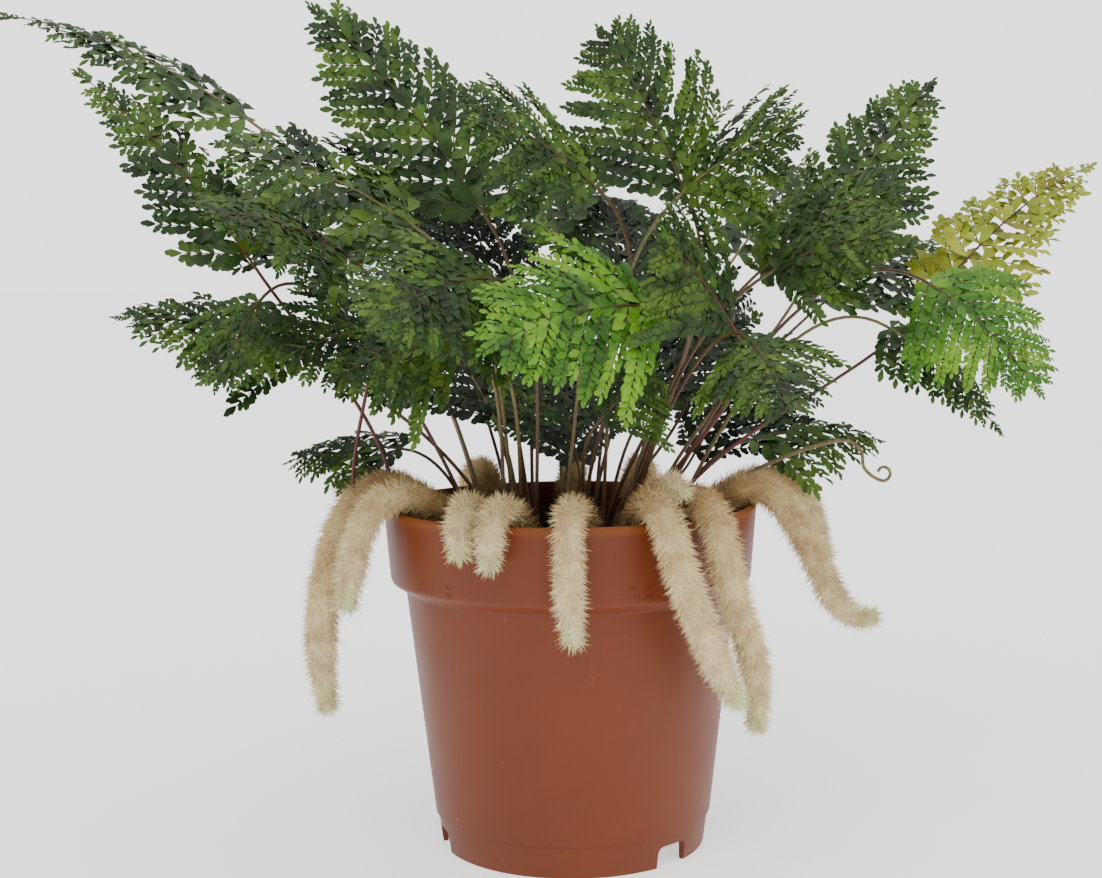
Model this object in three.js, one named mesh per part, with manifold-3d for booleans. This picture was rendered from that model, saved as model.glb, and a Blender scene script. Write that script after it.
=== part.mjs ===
// Bear's foot fern in a plastic nursery pot. Millimetres, Z up, the camera side of the plant is -Y.
// An azimuth is counted from the front of the pot (-Y) towards its right side (+X).
import * as THREE from 'three';
import { mergeVertices } from 'three/addons/utils/BufferGeometryUtils.js';
import Module from 'manifold-3d';

const wasm = await Module();
wasm.setup();

// Pieces that rest on one another are this far apart
const GAP = 0.35;
const UP = new THREE.Vector3(0, 0, 1);

// Pot: a 14 cm injection-moulded nursery pot
const POT_SIDES = 36;
const RIM_RADIUS = 70;
const POT_HEIGHT = 129;
const COLLAR_RADIUS = 67.9;
const COLLAR_BOTTOM = 101.6;
const BODY_TOP_RADIUS = 62.2;
const BODY_TOP = 97.7;
const BODY_FOOT_RADIUS = 52.3;
const FOOT_TOP = 12;
const FOOT_RADIUS = 49.8;
const FOOT_TOP_RADIUS = 51.4;
const WALL = 1.8;
const FOOT_WALL = 2;
const LIP = 0.9;
const CORNER = 0.6;
const FLOOR_BOTTOM = 9.6;
const COLLAR_INSIDE_BOTTOM = 103;
const BODY_INSIDE_TOP = 98.7;
const NOTCH_AZIMUTHS = [45, 165, -75];
const NOTCH_WIDTH = 14.5;
const NOTCH_HEIGHT = 8;
const NOTCH_FILLET = 2.5;
const NOTCH_DEPTH = 10;
const DRAIN_RADIUS = 3.5;
const DRAIN_RING = 32;
const DRAIN_COUNT = 6;
const DRAIN_SIDES = 8;

// Potting mix
const SOIL_TOP = 117;
const SOIL_SIDES = 18;
const SOIL_RINGS = [44, 22];
const SOIL_DIP = 2.2;
const STEM_HOLE_DEPTH = 8;
const STEM_HOLE_RADIUS = 2.1;
const STEM_HOLE_SIDES = 5;

// Stipes, ribs and leaflets: half widths and half thicknesses, and the part of a stipe in its hole
const STUB = 6;
const STIPE_HALF = 0.8;
const RACHIS_HALF = 0.6;
const RIB_HALF = 0.5;
const RIB_THICK = 0.42;
const STIPE_STEPS = 4;

// Blades: where the pinnae stand along the rachis, as shares of the blade, how far they lean towards
// its tip, and how their leaflets fill the room between them
const FIRST_PINNA = 0.05;
const LAST_PINNA = 0.8;
const PINNA_CROWDING = 0.9;
const PINNA_LOW_ANGLE = 62;
const PINNA_HIGH_ANGLE = 48;
const PINNA_TAPER = 0.85;
const RIB_SHARE = 0.84;
const RIB_NARROWING = 0.3;
const LEAFLET_REACH = 0.3;
const LEAFLET_ROOM = 0.44;
const LEAFLET_TAPER = 0.62;
const LEAFLET_SWEEP = 0.8;
const LAST_PINNA_ROOM = 0.08;
const END_RIBS = 2;
const END_LEAFLET = 0.1;
const BLADE_ARCH = 0.14;
const BLADE_DROOP = 0.22;

// Ribs per pinna, from the lowest pair to the highest, for a full, a medium and a small frond
const PINNAE = { full: [3, 2, 2, 1, 1], medium: [2, 2, 1, 1], small: [2, 1, 1] };

// Rhizomes: [azimuth, distance from the pot's axis, height] along each furry stem
const RHIZOMES = [
  { name: 'rhizome_left_outer', radius: 6.4, path: [[-82, 43, 124.5], [-81, 56, 131], [-80, 68, 137.5],
    [-79, 79, 134], [-79, 86.5, 123], [-78, 91.5, 108], [-78, 94, 92], [-78, 94.5, 74], [-78, 92.5, 56]] },
  { name: 'rhizome_left_inner', radius: 5.8, path: [[-61, 42, 124], [-63, 55, 130.5], [-64, 67, 136.5],
    [-64, 78, 133], [-64, 84.5, 122], [-65, 87, 110], [-65, 89, 97]] },
  { name: 'rhizome_left_back', radius: 5, path: [[-105, 46, 124], [-104, 58, 131], [-103, 70, 137],
    [-101, 80, 138], [-99, 90, 134.5]] },
  { name: 'rhizome_stub_left', radius: 5, path: [[-37, 48, 124.5], [-34, 60, 133], [-31, 71, 135.5],
    [-29, 79, 129], [-28, 81, 120.5]] },
  { name: 'rhizome_stub_mid', radius: 4.8, path: [[-19, 46, 124], [-20, 59, 133], [-21, 70, 136],
    [-21, 78, 129], [-20.5, 80, 117.5]] },
  { name: 'rhizome_front', radius: 4.9, path: [[9, 42, 123.5], [4, 55, 130], [0, 66, 135.5], [-1, 75.5, 132],
    [-1, 78.5, 121], [-1, 79, 107], [0, 78.5, 92]] },
  { name: 'rhizome_front_right', radius: 5.9, path: [[27, 42, 124.5], [25, 56, 131], [24, 67, 137],
    [24, 77.5, 132.5], [25, 83, 120], [28, 84.5, 106], [32, 85, 93], [37, 84, 80], [43, 83, 67]] },
  { name: 'rhizome_long_right', radius: 5.8, path: [[45, 45, 125], [42, 57, 131], [39.5, 68, 137],
    [39, 78, 131.5], [39.5, 82, 118], [42, 83, 103], [47, 83, 88], [51, 83, 71], [52, 82, 55]] },
  { name: 'rhizome_stub_right', radius: 3.9, path: [[33, 46, 134], [32, 56, 140], [31.5, 67, 143.5],
    [31.5, 74, 141]] },
  { name: 'rhizome_right', radius: 5.6, path: [[77, 45, 124.5], [79, 57, 131], [80, 68, 136.5], [79, 78, 132],
    [78, 86, 121.5], [78, 93, 108], [78, 99, 96], [79, 106, 89], [80, 114, 88.5]] },
  { name: 'rhizome_right_back', radius: 4.9, path: [[103, 47, 124], [100, 60, 132.5], [98, 72, 138],
    [96, 83, 138], [96, 90, 131], [97, 95.5, 119.5], [97, 99.5, 107]] },
  { name: 'rhizome_back_right', radius: 5.4, path: [[150, 43, 124], [152, 56, 131], [154, 67, 136.5],
    [155, 77.5, 131], [156, 80, 117], [158, 80, 100], [160, 79, 84]] },
  { name: 'rhizome_back', radius: 5, path: [[-178, 45, 123.5], [179, 57, 131], [178, 67.5, 136],
    [178, 76.5, 130], [177, 78.5, 119]] },
  { name: 'rhizome_back_left', radius: 5.4, path: [[-143, 43, 124], [-146, 56, 131], [-148, 67, 136.5],
    [-149, 77.5, 131], [-149, 80, 117], [-147, 80, 102]] },
];
const RHIZOME_SIDES = 6;
const RHIZOME_STEP = 11;
const FUR_RELIEF = 0.07;
const SEAT_ROUNDS = 10;
const SEAT_REACH = 8;

// The crozier's stalk in the plane y = 0, then the coil that it ends in
const CROZIER_ROOT = new THREE.Vector3(36, 0, SOIL_TOP);
const CROZIER_STALK = [[37, 120], [60, 135], [86, 147], [105, 151], [110, 147], [111, 141], [115, 137]];
const CROZIER_COIL = { x: 118.5, z: 138.6, radius: 2.9, points: 5, start: -80, turn: 62 };
const CROZIER_RADIUS = 0.95;
const CROZIER_SIDES = 5;
const CROZIER_STEPS = 26;

// Fronds, those that show first. root is the spot where the stipe leaves the soil, or the rhizome
// named by 'on'; a single number is its distance from the pot's axis, below the start of the blade.
// base and tip are the ends of the leaf blade, width its span, roll its turn about the rachis.
const FRONDS = [
  { name: 'far_left', root: 30, base: [-114, 2, 270], tip: [-208, 0, 312], width: 48, roll: -26,
    size: 'full' },
  { name: 'left_high', on: 'rhizome_left_outer', root: [-67, -11.8, 142.6], base: [-113, -20, 218],
    tip: [-176, -22, 289], width: 48, roll: -54, size: 'full' },
  { name: 'left_red', on: 'rhizome_left_outer', root: [-80, -15.5, 138], base: [-74, -50, 220],
    tip: [-115, -106, 234], width: 84, roll: -34, size: 'full' },
  { name: 'left_shoulder', root: 21, base: [-52, -16, 230], tip: [-124, -36, 262], width: 84, roll: -46,
    size: 'medium' },
  { name: 'left_low', root: 27, base: [-94, -24, 190], tip: [-161, -38, 206], width: 60, roll: -38,
    size: 'medium' },
  { name: 'left_hanging', root: 36, base: [-109, -38, 202], tip: [-124, -56, 170], width: 54, roll: -20,
    size: 'small' },
  { name: 'left_mid', root: 32, base: [-42, -40, 206], tip: [-95, -78, 197], width: 84, roll: -50,
    size: 'full' },
  { name: 'tall_left', root: 14, base: [-30, 8, 235], tip: [-95, 2, 315], width: 78, roll: -62,
    size: 'full' },
  { name: 'tall_mid', root: 26, base: [44, -24, 238], tip: [11, -30, 301], width: 82, roll: -78,
    size: 'full' },
  { name: 'right_top', root: 28, base: [93, 6, 217], tip: [140, 18, 287], width: 64, roll: 52,
    size: 'full' },
  { name: 'young_right', root: [30, -17, SOIL_TOP], base: [135, -2, 203], tip: [206, 34, 255], width: 58,
    roll: 40, size: 'full' },
  { name: 'bright_droop', root: 30, base: [125, -36, 211], tip: [161, -62, 171], width: 66, roll: 46,
    size: 'full' },
  { name: 'dark_droop', root: 37, base: [114, -22, 195], tip: [153, -40, 156], width: 38, roll: 36,
    size: 'medium' },
  { name: 'front_right_small', root: 28, base: [58, -72, 193], tip: [69, -108, 169], width: 60, roll: 20,
    size: 'medium' },
  { name: 'front_bright', root: 25, base: [33, -62, 203], tip: [-29, -108, 190], width: 82, roll: -58,
    size: 'full' },
  { name: 'low_left_bright', root: 30, base: [-40, -58, 188], tip: [-84, -74, 174], width: 54, roll: -48,
    size: 'medium' },
  { name: 'front_left', root: 35, base: [-24, -66, 213], tip: [-62, -122, 198], width: 80, roll: -48,
    size: 'full' },
  { name: 'mid_upper_left', root: 18, base: [10, -46, 234], tip: [-36, -70, 260], width: 80, roll: -56,
    size: 'full' },
  { name: 'mid_upper_right', root: 14, base: [41, -30, 231], tip: [84, -50, 254], width: 80, roll: 56,
    size: 'medium' },
  { name: 'right_mid', root: 22, base: [64, -40, 212], tip: [115, -52, 245], width: 80, roll: 48,
    size: 'full' },
  { name: 'right_front', root: 26, base: [68, -56, 214], tip: [108, -82, 226], width: 62, roll: 50,
    size: 'medium' },
  { name: 'front_mid', root: 34, base: [56, -60, 195], tip: [28, -80, 227], width: 76, roll: -76,
    size: 'medium' },
  { name: 'front_low', root: 27, base: [10, -44, 163], tip: [31, -52, 180], width: 56, roll: 66,
    size: 'small' },
  { name: 'mid_back_up', root: 10, base: [-3, 26, 228], tip: [-15, 60, 270], width: 72, roll: -20,
    size: 'medium' },
  { name: 'right_back', root: 25, base: [66, 46, 219], tip: [112, 92, 257], width: 84, roll: 30,
    size: 'medium' },
  { name: 'back_mid', root: 24, base: [18, 62, 226], tip: [14, 142, 250], width: 84, roll: 0,
    size: 'medium' },
  { name: 'left_back', root: 22, base: [-46, 52, 226], tip: [-94, 112, 256], width: 84, roll: -14,
    size: 'medium' },
  { name: 'far_left_back', root: 34, base: [-84, 30, 216], tip: [-152, 62, 246], width: 80, roll: -24,
    size: 'medium' },
  { name: 'right_back_low', root: 34, base: [96, 32, 200], tip: [156, 74, 226], width: 72, roll: 22,
    size: 'medium' },
  { name: 'back_low', root: 35, base: [24, 80, 196], tip: [40, 158, 196], width: 74, roll: 4,
    size: 'medium' },
  { name: 'back_low_left', root: 33, base: [-50, 70, 198], tip: [-84, 138, 202], width: 74, roll: -4,
    size: 'medium' },
  { name: 'low_left', root: 37, base: [-62, 14, 148], tip: [-112, 24, 142], width: 56, roll: -24,
    size: 'small' },
  { name: 'low_right', root: 37, base: [68, 14, 150], tip: [124, 26, 148], width: 56, roll: 24,
    size: 'small' },
  { name: 'inner_left', root: 19, base: [-27, 4, 143], tip: [-54, 22, 186], width: 76, roll: -24,
    size: 'medium' },
  { name: 'inner_front', root: 8, base: [3, -10, 143], tip: [-4, 8, 180], width: 70, roll: 0,
    size: 'small' },
  { name: 'inner_right', root: 14, base: [28, 6, 142], tip: [65, 24, 181], width: 72, roll: 24,
    size: 'medium' },
  { name: 'inner_back', root: 24, base: [-4, 34, 146], tip: [-16, 62, 196], width: 84, roll: 0,
    size: 'medium' },
  { name: 'inner_back_right', root: 30, base: [48, 30, 146], tip: [82, 52, 185], width: 80, roll: 20,
    size: 'medium' },
  { name: 'core_left', root: 28, base: [-39, 30, 162], tip: [-63, 44, 209], width: 84, roll: -20,
    size: 'medium' },
  { name: 'core_mid', root: 12, base: [22, 24, 191], tip: [19, 48, 245], width: 84, roll: 0,
    size: 'medium' },
  { name: 'core_right', root: 18, base: [51, 26, 185], tip: [51, 48, 240], width: 84, roll: 4,
    size: 'medium' },
  { name: 'core_left_up', root: 28, base: [-27, 36, 193], tip: [-41, 60, 243], width: 84, roll: -10,
    size: 'medium' },
  { name: 'mid_drop', root: 31, base: [-4, -50, 195], tip: [-24, -78, 173], width: 60, roll: -30,
    size: 'small' },
];

// A frond that would touch one placed before it is turned and lifted about its root, least first
const TURN_STEP = 3;
const LIFT_STEP = 5;
const SETTLE_REACH = 4;
const SETTLE_MARGIN = 0.3;

const COLOURS = { pot: 0xa85a34, soil: 0x2c2119, rhizome: 0xcdb98f, frond: 0x3f6b2c, crozier: 0x6d6a35 };
const FRESH_COLOURS = {
  frond_young_right: 0x9aa832, frond_bright_droop: 0x5f9a2f, frond_front_bright: 0x5f9a2f,
};

function around(azimuth, radius, height) {
  const angle = THREE.MathUtils.degToRad(azimuth);
  return new THREE.Vector3(radius * Math.sin(angle), -radius * Math.cos(angle), height);
}

function solid(positions, triangles) {
  const kept = [];
  for (let i = 0; i < triangles.length; i += 3) {
    const [a, b, c] = triangles.slice(i, i + 3);
    if (a !== b && b !== c && c !== a) kept.push(a, b, c);
  }
  const mesh = new wasm.Mesh({
    numProp: 3, vertProperties: new Float32Array(positions), triVerts: new Uint32Array(kept),
  });
  return new wasm.Manifold(mesh);
}

function solidFrom(geometry) {
  const bare = new THREE.BufferGeometry();
  bare.setAttribute('position', geometry.getAttribute('position').clone());
  bare.setIndex(geometry.getIndex());
  const merged = mergeVertices(bare, 1e-4);
  return solid(merged.getAttribute('position').array, Array.from(merged.getIndex().array));
}

function geometryOf(body) {
  const mesh = body.getMesh();
  const geometry = new THREE.BufferGeometry();
  geometry.setAttribute('position', new THREE.BufferAttribute(Float32Array.from(mesh.vertProperties), 3));
  geometry.setIndex(new THREE.BufferAttribute(Uint32Array.from(mesh.triVerts), 1));
  geometry.computeVertexNormals();
  return geometry;
}

function lathed(profile, sides) {
  const points = profile.map(([radius, height]) => new THREE.Vector2(radius, height));
  return new THREE.LatheGeometry(points, sides).rotateX(Math.PI / 2);
}

function prism(x, y, bottom, top, radius, sides) {
  const column = new THREE.CylinderGeometry(radius, radius, top - bottom, sides);
  column.rotateX(Math.PI / 2).translate(x, y, (top + bottom) / 2);
  return solidFrom(column);
}

function potProfile() {
  return [
    [0, FLOOR_BOTTOM], [FOOT_RADIUS - FOOT_WALL, FLOOR_BOTTOM], [FOOT_RADIUS - FOOT_WALL, 0], [FOOT_RADIUS, 0],
    [FOOT_TOP_RADIUS, FOOT_TOP], [BODY_FOOT_RADIUS, FOOT_TOP + CORNER / 2], [BODY_TOP_RADIUS, BODY_TOP],
    [COLLAR_RADIUS - CORNER, COLLAR_BOTTOM - CORNER], [COLLAR_RADIUS, COLLAR_BOTTOM + CORNER],
    [RIM_RADIUS, POT_HEIGHT - LIP], [RIM_RADIUS - CORNER, POT_HEIGHT],
    [RIM_RADIUS - CORNER - WALL, POT_HEIGHT], [COLLAR_RADIUS - WALL, COLLAR_INSIDE_BOTTOM],
    [BODY_TOP_RADIUS - WALL, BODY_INSIDE_TOP], [BODY_FOOT_RADIUS - WALL, FOOT_TOP], [0, FOOT_TOP],
  ];
}

function footNotch(azimuth) {
  const half = NOTCH_WIDTH / 2;
  const shoulder = NOTCH_HEIGHT - NOTCH_FILLET;
  const tab = new THREE.Shape();
  tab.moveTo(-half, -1);
  tab.lineTo(half, -1);
  tab.lineTo(half, shoulder);
  tab.absarc(half - NOTCH_FILLET, shoulder, NOTCH_FILLET, 0, Math.PI / 2);
  tab.absarc(-half + NOTCH_FILLET, shoulder, NOTCH_FILLET, Math.PI / 2, Math.PI);
  tab.closePath();
  const cutter = new THREE.ExtrudeGeometry(tab, { depth: NOTCH_DEPTH, bevelEnabled: false, curveSegments: 3 });
  cutter.rotateX(Math.PI / 2).translate(0, -FOOT_RADIUS + NOTCH_DEPTH / 2, 0);
  cutter.rotateZ(THREE.MathUtils.degToRad(azimuth));
  return solidFrom(cutter);
}

function drainHole({ x, y }) {
  return prism(x, y, FLOOR_BOTTOM - 1, FOOT_TOP + 1, DRAIN_RADIUS, DRAIN_SIDES);
}

function makePot() {
  let pot = solidFrom(lathed(potProfile(), POT_SIDES)).subtract(drainHole({ x: 0, y: 0 }));
  for (const azimuth of NOTCH_AZIMUTHS) pot = pot.subtract(footNotch(azimuth));
  for (let i = 0; i < DRAIN_COUNT; i++) {
    pot = pot.subtract(drainHole(around((i + 0.5) * 360 / DRAIN_COUNT, DRAIN_RING, 0)));
  }
  return pot;
}

// The soil fills the pot to just under the rim; its top only dips, so that nothing on it is touched
function makeSoil() {
  const share = (SOIL_TOP - COLLAR_INSIDE_BOTTOM) / (POT_HEIGHT - COLLAR_INSIDE_BOTTOM);
  const wallAtTop = COLLAR_RADIUS + (RIM_RADIUS - CORNER - COLLAR_RADIUS) * share - WALL;
  const profile = [
    [0, FOOT_TOP + GAP], [BODY_FOOT_RADIUS - WALL - GAP, FOOT_TOP + GAP],
    [BODY_TOP_RADIUS - WALL - GAP, BODY_INSIDE_TOP + GAP],
    [COLLAR_RADIUS - WALL - GAP, COLLAR_INSIDE_BOTTOM + GAP],
    [wallAtTop - GAP, SOIL_TOP], ...SOIL_RINGS.map((radius) => [radius, SOIL_TOP]), [0, SOIL_TOP],
  ];
  const geometry = lathed(profile, SOIL_SIDES);
  const position = geometry.getAttribute('position');
  for (let i = 0; i < position.count; i++) {
    const dip = 0.5 + 0.5 * Math.sin(position.getX(i) * 0.19 + 1) * Math.cos(position.getY(i) * 0.23);
    const radius = Math.hypot(position.getX(i), position.getY(i));
    if (position.getZ(i) > SOIL_TOP - 0.1 && radius > 1) position.setZ(i, SOIL_TOP - SOIL_DIP * dip);
  }
  return solidFrom(geometry);
}

// A closed tube of rings along a curve, tapering to a blunt tip; every second corner stands out a little
function tube(points, radiusAt, sides, steps, relief) {
  const curve = new THREE.CatmullRomCurve3(points);
  const frames = curve.computeFrenetFrames(steps);
  const positions = [...curve.getPointAt(0).toArray()];
  const triangles = [];
  for (let i = 0; i <= steps; i++) {
    const centre = curve.getPointAt(i / steps);
    for (let j = 0; j < sides; j++) {
      const angle = j / sides * 2 * Math.PI;
      const radius = radiusAt(i / steps) * (1 + ((i + j) % 2 ? relief : -relief));
      const corner = centre.clone().addScaledVector(frames.normals[i], radius * Math.cos(angle));
      positions.push(...corner.addScaledVector(frames.binormals[i], radius * Math.sin(angle)).toArray());
    }
  }
  const end = positions.length / 3;
  const tip = curve.getPointAt(1).addScaledVector(frames.tangents[steps], radiusAt(1) * 0.8);
  positions.push(...tip.toArray());
  for (let j = 0; j < sides; j++) {
    const next = (j + 1) % sides;
    triangles.push(0, 1 + next, 1 + j, end, end - sides + j, end - sides + next);
    for (let i = 0; i < steps; i++) {
      const low = 1 + i * sides;
      const high = low + sides;
      triangles.push(low + j, low + next, high + next, low + j, high + next, high + j);
    }
  }
  return solid(positions, triangles);
}

function makeRhizome({ radius, path }) {
  const points = path.map(([azimuth, distance, height]) => around(azimuth, distance, height));
  const length = new THREE.CatmullRomCurve3(points).getLength();
  const radiusAt = (t) => radius * (t < 0.12 ? 0.85 : 1) * Math.min(1, 0.55 + (1 - t) * 2.2);
  return tube(points, radiusAt, RHIZOME_SIDES, Math.round(length / RHIZOME_STEP), FUR_RELIEF);
}

// Lowers a stem until it lies on what is below it
function seat(body, carriers) {
  let seated = body;
  for (let i = 0; i < SEAT_ROUNDS; i++) {
    const gap = Math.min(...carriers.map((carrier) => seated.minGap(carrier, SEAT_REACH)));
    seated = seated.translate([0, 0, GAP - gap]);
  }
  return seated;
}

// The young frond that is still a coiled tip on a thin stalk
function makeCrozier() {
  const { x: coilX, z: coilZ, radius, points: count, start, turn } = CROZIER_COIL;
  const points = [CROZIER_ROOT.clone().addScaledVector(UP, -STUB)];
  for (const [x, z] of CROZIER_STALK) points.push(new THREE.Vector3(x, 0, z));
  for (let i = 0; i < count; i++) {
    const angle = THREE.MathUtils.degToRad(start + i * turn);
    const reach = radius * (1 - 0.075 * i);
    points.push(new THREE.Vector3(coilX + reach * Math.cos(angle), i * 0.35, coilZ + reach * Math.sin(angle)));
  }
  return tube(points, (t) => CROZIER_RADIUS * (1 - 0.37 * t), CROZIER_SIDES, CROZIER_STEPS, 0);
}

// Where the frond's stalk leaves the surface that it stands in
function rootPoint(frond) {
  if (Array.isArray(frond.root)) return new THREE.Vector3(...frond.root);
  const [x, y] = frond.base;
  const reach = frond.root / Math.hypot(x, y);
  return new THREE.Vector3(x * reach, y * reach, SOIL_TOP);
}

// The frond's midline as a function of the distance along it: a stub in its hole, the stipe as a
// cubic Bezier curve, then the rachis as a quadratic one that arches over
function makeAxis(frond, [turn, lift]) {
  const root = rootPoint(frond);
  const swing = (point) => new THREE.Vector3(...point).sub(root)
    .applyAxisAngle(UP, THREE.MathUtils.degToRad(turn * TURN_STEP)).add(root)
    .addScaledVector(UP, lift * LIFT_STEP);
  const base = swing(frond.base);
  const tip = swing(frond.tip);
  const bladeLength = base.distanceTo(tip);
  const crest = base.clone().lerp(tip, 0.5).addScaledVector(UP, BLADE_ARCH * bladeLength);
  const rise = crest.clone().sub(base).normalize();
  const straight = base.clone().sub(root);
  const stipeLength = straight.length();
  const start = straight.normalize().add(UP).normalize();
  const stipe = new THREE.CubicBezierCurve3(root, root.clone().addScaledVector(start, stipeLength / 3),
    base.clone().addScaledVector(rise, -stipeLength / 3), base);
  const rachis = new THREE.QuadraticBezierCurve3(base, crest, tip);
  const heading = tip.clone().sub(base).setZ(0).normalize();
  const level = UP.clone().cross(heading);
  return { root, stipe, rachis, level, stipeLength, bladeLength, roll: THREE.MathUtils.degToRad(frond.roll) };
}

// Centre, side and normal of the frond at a distance along its midline (0 at the start of the blade)
function frameAt(axis, along) {
  const { root, stipe, rachis, level, stipeLength, bladeLength, roll } = axis;
  let centre;
  let tangent;
  let turn = roll;
  if (along < -stipeLength) {
    centre = root.clone().addScaledVector(UP, along + stipeLength);
    tangent = UP.clone();
    turn = 0;
  } else if (along < 0) {
    const t = 1 + along / stipeLength;
    centre = stipe.getPoint(t);
    tangent = stipe.getTangent(t);
    turn = roll * t;
  } else {
    const t = Math.min(along / bladeLength, 1);
    tangent = rachis.getTangent(t);
    centre = rachis.getPoint(t).addScaledVector(tangent, Math.max(along - bladeLength, 0));
  }
  const side = level.clone().addScaledVector(tangent, -level.dot(tangent)).normalize();
  const normal = tangent.clone().cross(side);
  return {
    centre,
    side: side.clone().multiplyScalar(Math.cos(turn)).addScaledVector(normal, Math.sin(turn)),
    normal: normal.multiplyScalar(Math.cos(turn)).addScaledVector(side, -Math.sin(turn)),
  };
}

// A flat outline that is later bent along the midline: corners [along, across, half thickness]
class Plate {
  constructor() {
    this.corners = [];
    this.triangles = [];
  }

  corner(along, across, thick) {
    return this.corners.push([along, across, thick]) - 1;
  }

  face(a, b, c) {
    this.triangles.push([a, b, c]);
  }

  // A band from the edge [right, left] to a new edge further on
  band(edge, right, left) {
    this.face(edge[0], right, left);
    this.face(edge[0], left, edge[1]);
    return [right, left];
  }
}

// One pinna: a rib that narrows to a point, with a pointed leaflet on both sides of each rib length
function addPinna(plate, edge, origin, angle, length, ribs, leaflet) {
  const forward = [Math.cos(angle), Math.sin(angle)];
  const leftward = [-forward[1], forward[0]];
  const spot = (run, out) => [
    origin[0] + forward[0] * run + leftward[0] * out,
    origin[1] + forward[1] * run + leftward[1] * out,
  ];
  const step = length * RIB_SHARE / ribs;
  let last = edge;
  for (let i = 0; i < ribs; i++) {
    const run = (i + 1) * step;
    const half = RIB_HALF * (1 - RIB_NARROWING * run / length);
    const next = plate.band(last,
      plate.corner(...spot(run, -half), RIB_THICK), plate.corner(...spot(run, half), RIB_THICK));
    const reach = leaflet * (1 - LEAFLET_TAPER * i / ribs) + RIB_HALF;
    const point = (i + LEAFLET_SWEEP) * step;
    plate.face(last[0], plate.corner(...spot(point, -reach), 0), next[0]);
    plate.face(next[1], plate.corner(...spot(point, reach), 0), last[1]);
    last = next;
  }
  plate.face(last[0], plate.corner(...spot(length, 0), 0), last[1]);
}

// Where each pair of pinnae stands and leans; they stand closer towards the tip
function pinnaSpots(pinnae) {
  return pinnae.map((ribs, i) => {
    const share = i / (pinnae.length - 1);
    const place = FIRST_PINNA + (LAST_PINNA - FIRST_PINNA) * share ** PINNA_CROWDING;
    const angle = PINNA_LOW_ANGLE + (PINNA_HIGH_ANGLE - PINNA_LOW_ANGLE) * share;
    return { ribs, place, angle: THREE.MathUtils.degToRad(angle) };
  });
}

// The whole frond flat: the stub in its hole, the stipe, then the rachis with its pairs of pinnae
function frondOutline(frond, axis) {
  const plate = new Plate();
  const { stipeLength, bladeLength } = axis;
  const cross = (along, half, thick) => [plate.corner(along, -half, thick), plate.corner(along, half, thick)];
  let edge = cross(-stipeLength - STUB, STIPE_HALF, STIPE_HALF);
  for (let i = 0; i <= STIPE_STEPS; i++) {
    const half = STIPE_HALF + (RACHIS_HALF - STIPE_HALF) * i / STIPE_STEPS;
    const along = i ? -stipeLength * (1 - i / STIPE_STEPS) : 1 - stipeLength;
    edge = plate.band(edge, ...cross(along, half, half));
  }
  const spots = pinnaSpots(PINNAE[frond.size]);
  spots.forEach(({ ribs, place, angle }, i) => {
    const along = place * bladeLength;
    const half = RACHIS_HALF * (1 - RIB_NARROWING * place);
    const low = plate.band(edge, ...cross(along - half, half, RIB_THICK));
    const high = plate.band(low, ...cross(along + half, half, RIB_THICK));
    const nextPlace = spots[i + 1]?.place ?? place + LAST_PINNA_ROOM;
    const spacing = (nextPlace - place) * bladeLength * Math.sin(angle);
    const length = frond.width / 2 * (1 - place) ** PINNA_TAPER / Math.sin(angle);
    const leaflet = Math.min(LEAFLET_REACH * length, LEAFLET_ROOM * spacing);
    addPinna(plate, [high[1], low[1]], [along, half], angle, length, ribs, leaflet);
    addPinna(plate, [low[0], high[0]], [along, -half], -angle, length, ribs, leaflet);
    edge = high;
  });
  const endStart = LAST_PINNA * bladeLength + RACHIS_HALF;
  const endLength = bladeLength - endStart;
  addPinna(plate, edge, [endStart, 0], 0, endLength, END_RIBS, endLength * END_LEAFLET);
  return plate;
}

// The outline with its thickness, bent along the midline; the pinnae hang a little to both sides
function bendPlate(plate, frond, axis) {
  const positions = [];
  const top = [];
  const bottom = [];
  for (const [along, across, thick] of plate.corners) {
    const { centre, side, normal } = frameAt(axis, along);
    const sag = BLADE_DROOP * across * across / (frond.width / 2);
    for (const height of thick > 0 ? [thick, -thick] : [0]) {
      const spot = centre.clone().addScaledVector(side, across).addScaledVector(normal, height - sag);
      positions.push(spot.x, spot.y, spot.z);
    }
    top.push(positions.length / 3 - (thick > 0 ? 2 : 1));
    bottom.push(positions.length / 3 - 1);
  }
  const triangles = [];
  const edges = new Map();
  for (const [a, b, c] of plate.triangles) {
    triangles.push(top[a], top[b], top[c], bottom[a], bottom[c], bottom[b]);
    for (const [from, to] of [[a, b], [b, c], [c, a]]) {
      if (!edges.delete(`${to} ${from}`)) edges.set(`${from} ${to}`, [from, to]);
    }
  }
  for (const [from, to] of edges.values()) {
    triangles.push(bottom[from], bottom[to], top[to], bottom[from], top[to], top[from]);
  }
  return solid(positions, triangles);
}

function makeFrond(frond, step) {
  const axis = makeAxis(frond, step);
  return bendPlate(frondOutline(frond, axis), frond, axis);
}

// Every small turn and lift about the root, from the least to the most
function settleSteps() {
  const steps = [];
  for (let turn = -SETTLE_REACH; turn <= SETTLE_REACH; turn++) {
    for (let lift = -SETTLE_REACH; lift <= SETTLE_REACH; lift++) steps.push([turn, lift]);
  }
  return steps.sort((a, b) => Math.hypot(...a) - Math.hypot(...b));
}

function meets(body, others) {
  const { min, max } = body.boundingBox();
  return others.some((other) => {
    const box = other.boundingBox();
    const apart = [0, 1, 2].some((i) => (
      box.min[i] > max[i] + SETTLE_MARGIN || box.max[i] < min[i] - SETTLE_MARGIN));
    return !apart && body.minGap(other, SETTLE_MARGIN) < SETTLE_MARGIN;
  });
}

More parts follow.
